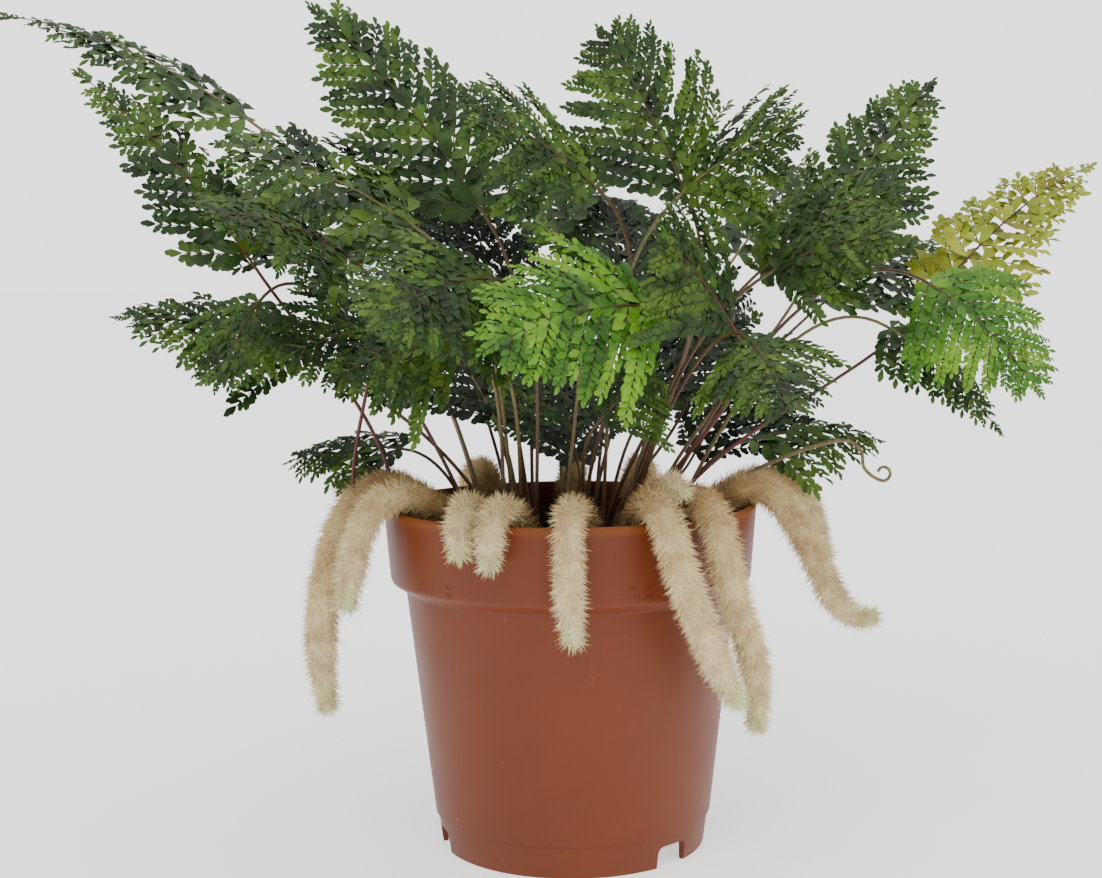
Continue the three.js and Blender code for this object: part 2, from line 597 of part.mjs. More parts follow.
function settle(frond, placed) {
  for (const step of settleSteps()) {
    const body = makeFrond(frond, step);
    if (!meets(body, placed)) return body;
  }
  throw new Error(`no free place for ${frond.name}`);
}

const bodies = new Map();
bodies.set('pot', makePot());
bodies.set('soil', makeSoil());
for (const rhizome of RHIZOMES) bodies.set(rhizome.name, seat(makeRhizome(rhizome), [...bodies.values()]));

// Each stem's hole is cut in what it stands in before the stems are set
const stems = FRONDS.map((frond) => ({ on: frond.on ?? 'soil', at: rootPoint(frond) }));
stems.push({ on: 'soil', at: CROZIER_ROOT });
for (const { on, at } of stems) {
  const [bottom, top] = [at.z - STEM_HOLE_DEPTH, at.z + STEM_HOLE_DEPTH];
  const hole = prism(at.x, at.y, bottom, top, STEM_HOLE_RADIUS, STEM_HOLE_SIDES);
  bodies.set(on, bodies.get(on).subtract(hole));
}
bodies.set('crozier', makeCrozier());
for (const frond of FRONDS) bodies.set(`frond_${frond.name}`, settle(frond, [...bodies.values()]));

// The origin is at the middle of the whole plant's footprint, on the surface that the pot stands on
const whole = new THREE.Box3();
for (const body of bodies.values()) {
  const { min, max } = body.boundingBox();
  whole.union(new THREE.Box3(new THREE.Vector3(...min), new THREE.Vector3(...max)));
}
const middle = whole.getCenter(new THREE.Vector3()).setZ(0);

const group = new THREE.Group();
for (const [name, body] of bodies) {
  const color = FRESH_COLOURS[name] ?? COLOURS[name.split('_')[0]];
  const material = new THREE.MeshStandardMaterial({ color, roughness: 0.7 });
  const mesh = new THREE.Mesh(geometryOf(body).translate(-middle.x, -middle.y, 0), material);
  mesh.name = name;
  group.add(mesh);
}

export default group;
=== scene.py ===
"""Looks of a bear's foot fern in a plastic nursery pot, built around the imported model. Metres, Z up."""

import math
import random

import bmesh
import bpy
from mathutils import Matrix, Vector


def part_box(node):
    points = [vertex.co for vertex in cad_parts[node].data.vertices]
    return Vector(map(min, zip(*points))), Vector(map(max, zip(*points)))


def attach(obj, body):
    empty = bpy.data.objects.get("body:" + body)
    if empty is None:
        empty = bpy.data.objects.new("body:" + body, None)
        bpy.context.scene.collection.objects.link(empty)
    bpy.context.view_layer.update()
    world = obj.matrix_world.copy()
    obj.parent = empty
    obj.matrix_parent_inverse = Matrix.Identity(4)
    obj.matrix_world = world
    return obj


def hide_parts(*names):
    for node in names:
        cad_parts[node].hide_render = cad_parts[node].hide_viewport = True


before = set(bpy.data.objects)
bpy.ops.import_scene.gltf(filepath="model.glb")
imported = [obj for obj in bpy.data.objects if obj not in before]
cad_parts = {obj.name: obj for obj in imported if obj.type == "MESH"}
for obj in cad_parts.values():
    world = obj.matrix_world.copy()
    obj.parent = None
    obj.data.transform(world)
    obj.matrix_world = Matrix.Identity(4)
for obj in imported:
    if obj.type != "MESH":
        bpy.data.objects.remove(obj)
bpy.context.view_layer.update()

# The nursery pot: one injection moulding in terracotta-coloured polypropylene, with a deep collar under
# its rim and three drain notches in its foot ring. Its corners are rounded by the mould, and the collar
# carries a few small square dimples.
MM = 0.001
UP = Vector((0, 0, 1))
POT_SIDES = 144
POT_PROFILE = [
    (0, 9.6), (47.8, 9.6), (47.8, 0), (49.8, 0), (51.4, 12), (52.3, 12.3), (62.2, 97.7), (67.3, 101),
    (67.9, 102.2), (70, 128.1), (69.4, 129), (67.6, 129), (66.1, 103), (60.4, 98.7), (50.5, 12), (0, 12),
]
CORNER_RADIUS = 0.7
NOTCH_AZIMUTHS = (45, 165, -75)
NOTCH_SIZE = (14.5, 8, 2.5)
NOTCH_REACH = 5
FOOT_RADIUS = 49.8
DRAIN_CIRCLE = 32
DRAIN_HOLES = [(0, 0)] + [(DRAIN_CIRCLE * math.sin(a), -DRAIN_CIRCLE * math.cos(a))
                          for a in (math.radians(30 + 60 * i) for i in range(6))]
DRAIN_RADIUS = 3.5
DRAIN_DEPTH = 6
FLOOR_MIDDLE = 10.8
COLLAR_FACE = ((67.9, 102.2), (70, 128.1))
DIMPLES = [(-39, 106.4), (-38.6, 103.4), (17.9, 107.5), (22.3, 107.6), (18.4, 104.4), (22.6, 104.5)]
DIMPLE_SIZE = (2.8, 1.6)
DIMPLE_DEPTH = 0.2
DIMPLE_CLEARANCE = 1.5
SHARP_EDGE = 40

pot_low, pot_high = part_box("pot")
POT_AXIS = Vector(((pot_low.x + pot_high.x) / 2, (pot_low.y + pot_high.y) / 2, 0))


def placed(point):
    """A point given in millimetres from the pot's axis, in the frame's metres."""
    return POT_AXIS + Vector(point) * MM


def around(azimuth, distance, height):
    """A point in millimetres from the pot's axis; azimuth 0 is towards the camera."""
    angle = math.radians(azimuth)
    return Vector((distance * math.sin(angle), -distance * math.cos(angle), height))


def new_piece(name, mesh):
    piece = bpy.data.objects.new(name, mesh)
    bpy.context.scene.collection.objects.link(piece)
    return piece


def rounded(profile, radius):
    """The profile with each inner corner replaced by a short arc of three points."""
    line = [Vector(profile[0])]
    for before, corner, after in zip(profile, profile[1:], profile[2:]):
        corner = Vector(corner)
        ends = []
        for end in (before, after):
            away = Vector(end) - corner
            ends.append(corner + away.normalized() * min(radius, away.length * 0.4))
        line += [ends[0], corner.lerp((ends[0] + ends[1]) / 2, 0.35), ends[1]]
    return line + [Vector(profile[-1])]


def lathed(name, profile, sides):
    """The closed shell that a profile sweeps round the pot's axis."""
    shell = bmesh.new()
    rings = []
    for radius, height in profile:
        if radius < 0.01:
            rings.append([shell.verts.new(placed((0, 0, height)))] * sides)
        else:
            rings.append([shell.verts.new(placed(around(360 * i / sides, radius, height)))
                          for i in range(sides)])
    for low, high in zip(rings, rings[1:]):
        for i in range(sides):
            j = (i + 1) % sides
            corners = list(dict.fromkeys([low[i], low[j], high[j], high[i]]))
            shell.faces.new(corners).smooth = True
    bmesh.ops.recalc_face_normals(shell, faces=shell.faces)
    mesh = bpy.data.meshes.new(name)
    shell.to_mesh(mesh)
    shell.free()
    return mesh


def prism_cutter(outline, radii, azimuth):
    """A closed block for cutting: outline corners are (across, up), radii are where it starts and ends."""
    block = bmesh.new()
    ends = []
    for run in radii:
        ends.append([block.verts.new(placed(Matrix.Rotation(math.radians(azimuth), 3, "Z")
                                            @ Vector((x, -run, z)))) for x, z in outline])
    count = len(outline)
    block.faces.new(ends[0])
    block.faces.new(ends[1][::-1])
    for i in range(count):
        j = (i + 1) % count
        block.faces.new([ends[0][j], ends[0][i], ends[1][i], ends[1][j]])
    bmesh.ops.recalc_face_normals(block, faces=block.faces)
    mesh = bpy.data.meshes.new("cutter")
    block.to_mesh(mesh)
    block.free()
    return mesh


def notch_outline(width, height, fillet):
    half = width / 2
    arcs = []
    for centre, start in ((half - fillet, 0), (fillet - half, 90)):
        for step in range(6):
            angle = math.radians(start + 18 * step)
            arcs.append((centre + fillet * math.cos(angle), height - fillet + fillet * math.sin(angle)))
    return [(-half, -1), (half, -1)] + arcs


def drain_cutter(x, y):
    ring = bmesh.new()
    bmesh.ops.create_cone(ring, cap_ends=True, segments=32, radius1=DRAIN_RADIUS * MM,
                          radius2=DRAIN_RADIUS * MM, depth=DRAIN_DEPTH * MM,
                          matrix=Matrix.Translation(placed((x, y, FLOOR_MIDDLE))))
    mesh = bpy.data.meshes.new("cutter")
    ring.to_mesh(mesh)
    ring.free()
    return mesh


def dimple_cutter(azimuth, height):
    across, up = (size / 2 for size in DIMPLE_SIZE)
    (low_radius, low), (high_radius, high) = COLLAR_FACE
    face = low_radius + (height - low) * (high_radius - low_radius) / (high - low)
    outline = [(-across, height - up), (across, height - up), (across, height + up), (-across, height + up)]
    return prism_cutter(outline, (face + DIMPLE_CLEARANCE, face - DIMPLE_DEPTH), azimuth)


def applied(piece):
    """The piece's mesh with its modifiers in it, and the modifiers gone."""
    depsgraph = bpy.context.evaluated_depsgraph_get()
    mesh = bpy.data.meshes.new_from_object(piece.evaluated_get(depsgraph), preserve_all_data_layers=True,
                                           depsgraph=depsgraph)
    piece.modifiers.clear()
    piece.data = mesh
    return piece


def cut(piece, cutters):
    """Takes the cutters out of the piece."""
    blocks = []
    for mesh in cutters:
        block = new_piece("cutter", mesh)
        blocks.append(block)
        modifier = piece.modifiers.new("cut", "BOOLEAN")
        modifier.object = block
        modifier.solver = "EXACT"
    applied(piece)
    for block in blocks:
        bpy.data.objects.remove(block)


def add_node(tree, kind, feeds=None, **settings):
    """One node with its settings; feeds gives each input a value or the socket that feeds it."""
    made = tree.nodes.new(kind)
    for name, value in settings.items():
        setattr(made, name, value)
    for key, value in (feeds or {}).items():
        if isinstance(value, bpy.types.NodeSocket):
            tree.links.new(value, made.inputs[key])
        else:
            made.inputs[key].default_value = value
    return made


def linear(red, green, blue):
    """A colour given as it looks on a screen, 0 to 255, as the shader's linear colour."""
    shares = [c / 255 for c in (red, green, blue)]
    return [s / 12.92 if s <= 0.04045 else ((s + 0.055) / 1.055) ** 2.4 for s in shares] + [1]


def new_finish(name, **shader_values):
    """A material's node tree and its shader, with the values that are the same all over."""
    material = bpy.data.materials.new(name)
    material.use_nodes = True
    shader = material.node_tree.nodes["Principled BSDF"]
    for key, value in shader_values.items():
        shader.inputs[key.replace("_", " ")].default_value = value
    return material, material.node_tree, shader


def colour_steps(tree, value, steps):
    """A colour ramp over value; steps are (place, colour)."""
    ramp = add_node(tree, "ShaderNodeValToRGB", {"Fac": value})
    elements = ramp.color_ramp.elements
    for element, (place, colour) in zip(elements, (steps[0], steps[-1])):
        element.position = place
        element.color = colour
    for place, colour in steps[1:-1]:
        elements.new(place).color = colour
    return ramp.outputs["Color"]


def noise(tree, place, scale, detail=2.0, roughness=0.5):
    texture = add_node(tree, "ShaderNodeTexNoise", {"Vector": place, "Scale": scale, "Detail": detail,
                                                    "Roughness": roughness})
    return texture.outputs["Fac"]


def mixed(tree, share, first, second, blend="MIX"):
    """Two colours mixed; share is a value or a socket."""
    mix = add_node(tree, "ShaderNodeMix", {0: share, 6: first, 7: second}, data_type="RGBA", blend_type=blend)
    return mix.outputs[2]


def plastic_finish():
    material, tree, shader = new_finish("terracotta_plastic", Specular_IOR_Level=0.35)
    place = add_node(tree, "ShaderNodeTexCoord").outputs["Object"]
    broad = noise(tree, place, 14, 3)
    base = colour_steps(tree, broad, [(0.3, linear(99, 39, 0)), (0.7, linear(109, 45, 2))])
    height = add_node(tree, "ShaderNodeSeparateXYZ", {"Vector": place}).outputs["Z"]
    rim = colour_steps(tree, height, [(0.1262, (0, 0, 0, 1)), (0.129, (0.6, 0.6, 0.6, 1))])
    base = mixed(tree, rim, base, linear(142, 80, 24))
    dust = colour_steps(tree, noise(tree, place, 900, 1), [(0.74, (0, 0, 0, 1)), (0.78, (0.5, 0.5, 0.5, 1))])
    base = mixed(tree, dust, base, linear(84, 34, 10))
    scuffs = add_node(tree, "ShaderNodeMapping", {"Vector": place, "Scale": (1, 1, 0.25)},
                      vector_type="POINT").outputs["Vector"]
    scuffed = colour_steps(tree, noise(tree, scuffs, 320, 4, 0.7),
                           [(0.66, (0, 0, 0, 1)), (0.72, (0.35, 0.35, 0.35, 1))])
    base = mixed(tree, scuffed, base, linear(152, 84, 42))
    tree.links.new(base, shader.inputs["Base Color"])
    rough = add_node(tree, "ShaderNodeMapRange", {"Value": noise(tree, place, 60, 3), 3: 0.42, 4: 0.56})
    tree.links.new(rough.outputs["Result"], shader.inputs["Roughness"])
    grain = add_node(tree, "ShaderNodeBump", {"Height": noise(tree, place, 1400, 2), "Strength": 0.12,
                                              "Distance": 0.0002})
    tree.links.new(grain.outputs["Normal"], shader.inputs["Normal"])
    return material


pot = new_piece("nursery_pot", lathed("nursery_pot", rounded(POT_PROFILE, CORNER_RADIUS), POT_SIDES))
notch_ends = (FOOT_RADIUS + NOTCH_REACH, FOOT_RADIUS - NOTCH_REACH)
cut(pot, [prism_cutter(notch_outline(*NOTCH_SIZE), notch_ends, azimuth) for azimuth in NOTCH_AZIMUTHS])
cut(pot, [drain_cutter(x, y) for x, y in DRAIN_HOLES])
cut(pot, [dimple_cutter(azimuth, height) for azimuth, height in DIMPLES])
pot.data.set_sharp_from_angle(angle=math.radians(SHARP_EDGE))
pot.data.materials.append(plastic_finish())
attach(pot, "root")
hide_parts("pot")

# The potting mix: dark peat and bark crumbs that fill the pot to just under the rim. The body of it is
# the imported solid, and loose crumbs lie over its top.
SOIL_TOP = 117
CRUMB_FIELD_RADIUS = 64
CRUMB_DENSITY = 130000.0
CRUMB_SIZES = (0.0009, 0.0021)


def soil_finish():
    material, tree, shader = new_finish("potting_mix", Roughness=0.95, Specular_IOR_Level=0.2)
    place = add_node(tree, "ShaderNodeTexCoord").outputs["Object"]
    shades = [(0.3, linear(24, 17, 12)), (0.55, linear(48, 34, 23)), (0.75, linear(82, 60, 40))]
    tree.links.new(colour_steps(tree, noise(tree, place, 420, 4), shades), shader.inputs["Base Color"])
    bump = add_node(tree, "ShaderNodeBump", {"Height": noise(tree, place, 1100, 4), "Strength": 0.6,
                                             "Distance": 0.0008})
    tree.links.new(bump.outputs["Normal"], shader.inputs["Normal"])
    return material


def new_tree(name, inputs):
    """A Geometry Nodes tree with a geometry input, named inputs of its own, and a geometry output."""
    tree = bpy.data.node_groups.new(name, "GeometryNodeTree")
    tree.interface.new_socket("Geometry", in_out="INPUT", socket_type="NodeSocketGeometry")
    for label, kind in inputs:
        tree.interface.new_socket(label, in_out="INPUT", socket_type=f"NodeSocket{kind}")
    tree.interface.new_socket("Geometry", in_out="OUTPUT", socket_type="NodeSocketGeometry")
    return tree, tree.nodes.new("NodeGroupInput").outputs


def end_tree(tree, geometry):
    tree.links.new(geometry, tree.nodes.new("NodeGroupOutput").inputs[0])


def grown(piece, tree, values):
    """The piece turned into the plain mesh that the tree makes of it."""
    modifier = piece.modifiers.new(tree.name, "NODES")
    modifier.node_group = tree
    for socket in tree.interface.items_tree:
        if socket.item_type == "SOCKET" and socket.in_out == "INPUT" and socket.name in values:
            modifier[socket.identifier] = values[socket.name]
    return applied(piece)


def random_value(tree, low, high, seed, kind="FLOAT"):
    """A random number or vector at each point."""
    first = {"FLOAT_VECTOR": 0, "FLOAT": 2, "INT": 4}[kind]
    drawn = add_node(tree, "FunctionNodeRandomValue", {first: low, first + 1: high, 8: seed}, data_type=kind)
    return drawn.outputs[first // 2]


def sown(tree, points, shapes, seed, rotation, scale):
    """Instances of the shapes of a collection on points, one picked at random for each."""
    held = add_node(tree, "GeometryNodeCollectionInfo", {"Collection": shapes, "Separate Children": True,
                                                         "Reset Children": True})
    picked = random_value(tree, 0, 99, seed, "INT")
    return add_node(tree, "GeometryNodeInstanceOnPoints", {
        "Points": points, "Instance": held.outputs[0], "Pick Instance": True, "Instance Index": picked,
        "Rotation": rotation, "Scale": scale})


def with_tone(tree, instances, tone):
    """Instances that carry a number for their colour."""
    return add_node(tree, "GeometryNodeStoreNamedAttribute", {
        "Geometry": instances, "Name": "tone", "Value": tone}, data_type="FLOAT",
        domain="INSTANCE").outputs[0]


def finished(tree, geometry, finish):
    """Instances made real, with their finish."""
    real = add_node(tree, "GeometryNodeRealizeInstances", {"Geometry": geometry}).outputs[0]
    return add_node(tree, "GeometryNodeSetMaterial", {"Geometry": real, "Material": finish}).outputs[0]


def shape_set(name, meshes):
    """A collection of shapes to pick from, outside the scene."""
    shapes = bpy.data.collections.new(name)
    for i, mesh in enumerate(meshes):
        shapes.objects.link(bpy.data.objects.new(f"{name}_{i}", mesh))
    return shapes


def crumb_mesh(seed):
    draw = random.Random(seed)
    lump = bmesh.new()
    bmesh.ops.create_icosphere(lump, subdivisions=1, radius=1)
    for vert in lump.verts:
        vert.co *= draw.uniform(0.65, 1.15)
        vert.co.z *= 0.7
    mesh = bpy.data.meshes.new("crumb")
    lump.to_mesh(mesh)
    lump.free()
    return mesh


def crumb_tree():
    tree, given = new_tree("Scattered crumbs", [
        ("Density", "Float"), ("Smallest", "Float"), ("Largest", "Float"), ("Seed", "Int"),
        ("Crumbs", "Collection"), ("Finish", "Material")])
    spots = add_node(tree, "GeometryNodeDistributePointsOnFaces", {
        "Mesh": given["Geometry"], "Density": given["Density"], "Seed": given["Seed"]})
    turn = random_value(tree, (0, 0, 0), (6.3, 6.3, 6.3), 1, "FLOAT_VECTOR")
    size = random_value(tree, given["Smallest"], given["Largest"], 2)
    crumbs = sown(tree, spots.outputs["Points"], given["Crumbs"], 3, turn, size)
    end_tree(tree, finished(tree, crumbs.outputs[0], given["Finish"]))
    return tree


def crumb_field():
    disc = bmesh.new()
    bmesh.ops.create_circle(disc, cap_ends=True, segments=48, radius=CRUMB_FIELD_RADIUS * MM,
                            matrix=Matrix.Translation(placed((0, 0, SOIL_TOP - 1.2))))
    mesh = bpy.data.meshes.new("crumb_field")
    disc.to_mesh(mesh)
    disc.free()
    return mesh


peat = soil_finish()
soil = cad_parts["soil"]
soil.data.materials.clear()
soil.data.materials.append(peat)
crumbs = grown(new_piece("potting_crumbs", crumb_field()), crumb_tree(), {
    "Density": CRUMB_DENSITY, "Smallest": CRUMB_SIZES[0], "Largest": CRUMB_SIZES[1], "Seed": 4,
    "Crumbs": shape_set("crumb", [crumb_mesh(seed) for seed in (11, 12, 13)]), "Finish": peat})
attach(crumbs, "root")

# The rhizomes, the "bear's feet": creeping stems as thick as a finger, under a shaggy coat of cream
# scales that grows towards the tip and is browner near the base. They lie on the potting mix, climb over
# the rim and hang down outside it.
RHIZOMES = {  # name: (radius, path as azimuth, distance from the pot's axis, height)
    "left_outer": (6.4, [(-82, 43, 124.5), (-81, 56, 131), (-80, 68, 137.5), (-79, 79, 134), (-79, 86.5, 123),
                         (-78, 91.5, 108), (-78, 94, 92), (-78, 94.5, 74), (-78, 92.5, 56)]),
    "left_inner": (5.8, [(-61, 42, 124), (-63, 55, 130.5), (-64, 67, 136.5), (-64, 78, 133),
                         (-64, 84.5, 122), (-65, 87, 110), (-65, 89, 97)]),
    "left_back": (5, [(-105, 46, 124), (-104, 58, 131), (-103, 70, 137), (-101, 80, 138), (-99, 90, 134.5)]),
    "stub_left": (5, [(-37, 48, 124.5), (-34, 60, 133), (-31, 71, 135.5), (-29, 79, 129), (-28, 81, 120.5)]),
    "stub_mid": (4.8, [(-19, 46, 124), (-20, 59, 133), (-21, 70, 136), (-21, 78, 129), (-20.5, 80, 117.5)]),
    "front": (4.9, [(9, 42, 123.5), (4, 55, 130), (0, 66, 135.5), (-1, 75.5, 132), (-1, 78.5, 121),
                    (-1, 79, 107), (0, 78.5, 92)]),
    "front_right": (5.9, [(27, 42, 124.5), (25, 56, 131), (24, 67, 137), (24, 77.5, 132.5), (25, 83, 120),
                          (28, 84.5, 106), (32, 85, 93), (37, 84, 80), (43, 83, 67)]),
    "long_right": (5.8, [(45, 45, 125), (42, 57, 131), (39.5, 68, 137), (39, 78, 131.5), (39.5, 82, 118),
                         (42, 83, 103), (47, 83, 88), (51, 83, 71), (52, 82, 55)]),
    "stub_right": (3.9, [(33, 46, 134), (32, 56, 140), (31.5, 67, 143.5), (31.5, 74, 141)]),
    "right": (5.6, [(77, 45, 124.5), (79, 57, 131), (80, 68, 136.5), (79, 78, 132), (78, 86, 121.5),
                    (78, 93, 108), (78, 99, 96), (79, 106, 89), (80, 114, 88.5)]),
    "right_back": (4.9, [(103, 47, 124), (100, 60, 132.5), (98, 72, 138), (96, 83, 138), (96, 90, 131),
                         (97, 95.5, 119.5), (97, 99.5, 107)]),
    "back_right": (5.4, [(150, 43, 124), (152, 56, 131), (154, 67, 136.5), (155, 77.5, 131), (156, 80, 117),
                         (158, 80, 100), (160, 79, 84)]),
    "back": (5, [(-178, 45, 123.5), (179, 57, 131), (178, 67.5, 136), (178, 76.5, 130), (177, 78.5, 119)]),
    "back_left": (5.4, [(-143, 43, 124), (-146, 56, 131), (-148, 67, 136.5), (-149, 77.5, 131),
                        (-149, 80, 117), (-147, 80, 102)]),
}
CORE_SHARE = 0.74
STEM_SPACING = 1.6
FUR_DENSITY = 1900000.0
FUR_LENGTHS = (0.0022, 0.0046)
FUR_LEAN = 0.75
FUR_STRAY = 0.55
BRISTLE_WIDTH = 0.05


def spline_through(points, spacing):
    """Points a fixed distance apart on the centripetal Catmull-Rom curve through the given ones."""
    ends = [points[0] * 2 - points[1], *points, points[-1] * 2 - points[-2]]
    fine = []
    for p0, p1, p2, p3 in zip(ends, ends[1:], ends[2:], ends[3:]):
        d0, d1, d2 = ((b - a).length ** 0.5 for a, b in ((p0, p1), (p1, p2), (p2, p3)))
        leave = ((p1 - p0) / d0 - (p2 - p0) / (d0 + d1) + (p2 - p1) / d1) * d1
        arrive = ((p2 - p1) / d1 - (p3 - p1) / (d1 + d2) + (p3 - p2) / d2) * d1
        for i in range(24):
            t = i / 24
            fine.append(p1 + leave * t + (p2 * 3 - p1 * 3 - leave * 2 - arrive) * t ** 2
                        + (p1 * 2 - p2 * 2 + leave + arrive) * t ** 3)
    fine.append(points[-1])
    runs = [0]
    for a, b in zip(fine, fine[1:]):
        runs.append(runs[-1] + (b - a).length)
    count = max(4, round(runs[-1] / spacing))
    even, at = [], 0
    for i in range(count + 1):
        wanted = runs[-1] * i / count
        while at < len(fine) - 2 and runs[at + 1] < wanted:
            at += 1
        even.append(fine[at].lerp(fine[at + 1], (wanted - runs[at]) / (runs[at + 1] - runs[at])))
    return even


class Skeleton:
    """Lines with values at their points, as a mesh of loose edges: what the trees grow a stem from."""

    def __init__(self, values):
        self.points, self.edges = [], []
        self.values = {name: [] for name in values}

    def line(self, points, **values):
        """Adds a line; a value that isn't given is 0 along it."""
        first = len(self.points)
        self.points += [placed(p) for p in points]
        self.edges += [(i, i + 1) for i in range(first, len(self.points) - 1)]
        for name, row in self.values.items():
            row += values.get(name, [0.0] * len(points))

    def mesh(self, name):
        mesh = bpy.data.meshes.new(name)
        mesh.from_pydata(self.points, self.edges, [])
        for label, row in self.values.items():
            if isinstance(row[0], Vector):
                mesh.attributes.new(label, "FLOAT_VECTOR", "POINT").data.foreach_set(
                    "vector", [c for v in row for c in v])
            else:
                mesh.attributes.new(label, "FLOAT", "POINT").data.foreach_set("value", row)
        return mesh


def value_of(tree, name, kind="FLOAT"):
    return add_node(tree, "GeometryNodeInputNamedAttribute", {"Name": name}, data_type=kind).outputs[0]


def scaled(tree, vector, factor):
    return add_node(tree, "ShaderNodeVectorMath", {0: vector, "Scale": factor}, operation="SCALE").outputs[0]


def combined(tree, first, second, operation="ADD"):
    """Two vectors combined."""
    return add_node(tree, "ShaderNodeVectorMath", {0: first, 1: second}, operation=operation).outputs[0]


def bristle_mesh(bend, width):
    """A pointed hair one unit long that leans over, as a closed shape of four faces."""
    corners = [(width * math.cos(math.tau * i / 3), width * math.sin(math.tau * i / 3), 0) for i in range(3)]
    mesh = bpy.data.meshes.new("bristle")
    mesh.from_pydata(corners + [(bend, 0, 1)], [], [(2, 1, 0), (0, 1, 3), (1, 2, 3), (2, 0, 3)])
    return mesh


def stem_tube(tree, curve, radius, sides):
    """A round tube along the curve, closed at its ends."""
    ring = add_node(tree, "GeometryNodeCurvePrimitiveCircle", {"Resolution": sides, "Radius": 1.0})
    return add_node(tree, "GeometryNodeCurveToMesh", {
        "Curve": curve, "Profile Curve": ring.outputs[0], "Scale": radius, "Fill Caps": True}).outputs[0]


def fur_tree():
    tree, given = new_tree("Furry stem", [
        ("Density", "Float"), ("Shortest", "Float"), ("Longest", "Float"), ("Seed", "Int"),
        ("Bristles", "Collection"), ("Finish", "Material")])
    curve = add_node(tree, "GeometryNodeMeshToCurve", {"Mesh": given["Geometry"]}).outputs[0]
    core = stem_tube(tree, curve, value_of(tree, "thickness"), 12)
    spots = add_node(tree, "GeometryNodeDistributePointsOnFaces", {
        "Mesh": core, "Density": given["Density"], "Seed": given["Seed"]})
    forward = scaled(tree, value_of(tree, "heading", "FLOAT_VECTOR"), FUR_LEAN)
    stray = random_value(tree, (-FUR_STRAY,) * 3, (FUR_STRAY,) * 3, 21, "FLOAT_VECTOR")
    growing = combined(tree, combined(tree, spots.outputs["Normal"], forward), stray)
    twist = add_node(tree, "ShaderNodeCombineXYZ", {"Z": random_value(tree, 0.0, 6.3, 22)}).outputs[0]
    twist = add_node(tree, "FunctionNodeEulerToRotation", {"Euler": twist}).outputs[0]
    rotation = add_node(tree, "FunctionNodeAlignRotationToVector", {"Rotation": twist, "Vector": growing},
                        axis="Z").outputs[0]
    length = random_value(tree, given["Shortest"], given["Longest"], 23)
    bristles = sown(tree, spots.outputs["Points"], given["Bristles"], 24, rotation, length)
    fur = with_tone(tree, bristles.outputs[0], random_value(tree, 0.0, 1.0, 25))
    both = add_node(tree, "GeometryNodeJoinGeometry")
    tree.links.new(fur, both.inputs[0])
    tree.links.new(core, both.inputs[0])
    end_tree(tree, finished(tree, both.outputs[0], given["Finish"]))
    return tree


def fur_finish():
    material, tree, shader = new_finish("rhizome_scales", Roughness=0.8, Specular_IOR_Level=0.25,
                                        Sheen_Weight=0.25)
    along = add_node(tree, "ShaderNodeAttribute", attribute_name="along").outputs["Fac"]
    tone = add_node(tree, "ShaderNodeAttribute", attribute_name="tone").outputs["Fac"]
    place = add_node(tree, "ShaderNodeTexCoord").outputs["Object"]
    coat = colour_steps(tree, along, [
        (0.0, linear(140, 104, 64)), (0.2, linear(206, 178, 122)), (0.4, linear(246, 230, 182)),
        (0.85, linear(252, 242, 202)), (1.0, linear(232, 242, 190))])
    shade = colour_steps(tree, tone, [(0.0, linear(176, 146, 112)), (0.5, linear(242, 234, 216)),
                                      (1.0, linear(255, 253, 244))])
    coat = mixed(tree, 0.4, coat, shade, "MULTIPLY")
    patches = colour_steps(tree, noise(tree, place, 160, 3), [(0.35, linear(178, 140, 104)),
                                                              (0.6, linear(255, 255, 255))])
    coat = mixed(tree, 0.45, coat, patches, "MULTIPLY")
    tree.links.new(coat, shader.inputs["Base Color"])
    return material


def stem_headings(points):
    """The unit direction of the line at each of its points."""
    steps = [(b - a).normalized() for a, b in zip(points, points[1:])]
    return [steps[0]] + [(a + b).normalized() for a, b in zip(steps, steps[1:])] + [steps[-1]]


def seat_drop(node, tip):
    """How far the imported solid's tip lies below where the path alone would put it, in millimetres."""
    nearest = min(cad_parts[node].data.vertices, key=lambda v: (v.co.xy - tip.xy).length)
    return (nearest.co.z - tip.z) / MM


furry = fur_tree()
coat = fur_finish()
bristles = shape_set("bristle", [bristle_mesh(bend, BRISTLE_WIDTH) for bend in (0, 0.25, 0.5)])
for number, (name, (radius, path)) in enumerate(RHIZOMES.items()):
    node = f"rhizome_{name}"
    points = spline_through([around(*spot) for spot in path], STEM_SPACING)
    headings = stem_headings(points)
    last = len(points) - 1
    girth = [radius * (0.85 if i / last < 0.12 else 1) * min(1, 0.55 + (1 - i / last) * 2.2)
             for i in range(last + 1)]
    drop = seat_drop(node, placed(points[-1] + headings[-1] * girth[-1] * 0.8))
    stem = Skeleton(("thickness", "along", "heading"))
    stem.line([p + UP * drop for p in points], thickness=[g * CORE_SHARE * MM for g in girth],
              along=[i / last for i in range(last + 1)], heading=headings)
    rhizome = grown(new_piece(f"furry_{node}", stem.mesh(node)), furry, {
        "Density": FUR_DENSITY, "Shortest": FUR_LENGTHS[0], "Longest": FUR_LENGTHS[1], "Seed": number,
        "Bristles": bristles, "Finish": coat})
    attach(rhizome, "root")
    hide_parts(node)

# The crozier: a young frond that is still coiled, on a thin bare stalk with a few short scales. It
# springs from the potting mix on the right and leans out over the rim.
CROZIER_ROOT = Vector((36, 0, SOIL_TOP))
CROZIER_STALK = [(37, 120), (60, 135), (86, 147), (105, 151), (110, 147), (111, 141), (115, 137)]
COIL_CENTRE = (118.5, 138.6)
COIL_RADIUS = 2.9
CROZIER_RADIUS = 0.95
SCALE_DENSITY = 900000.0
SCALE_LENGTHS = (0.0003, 0.0009)


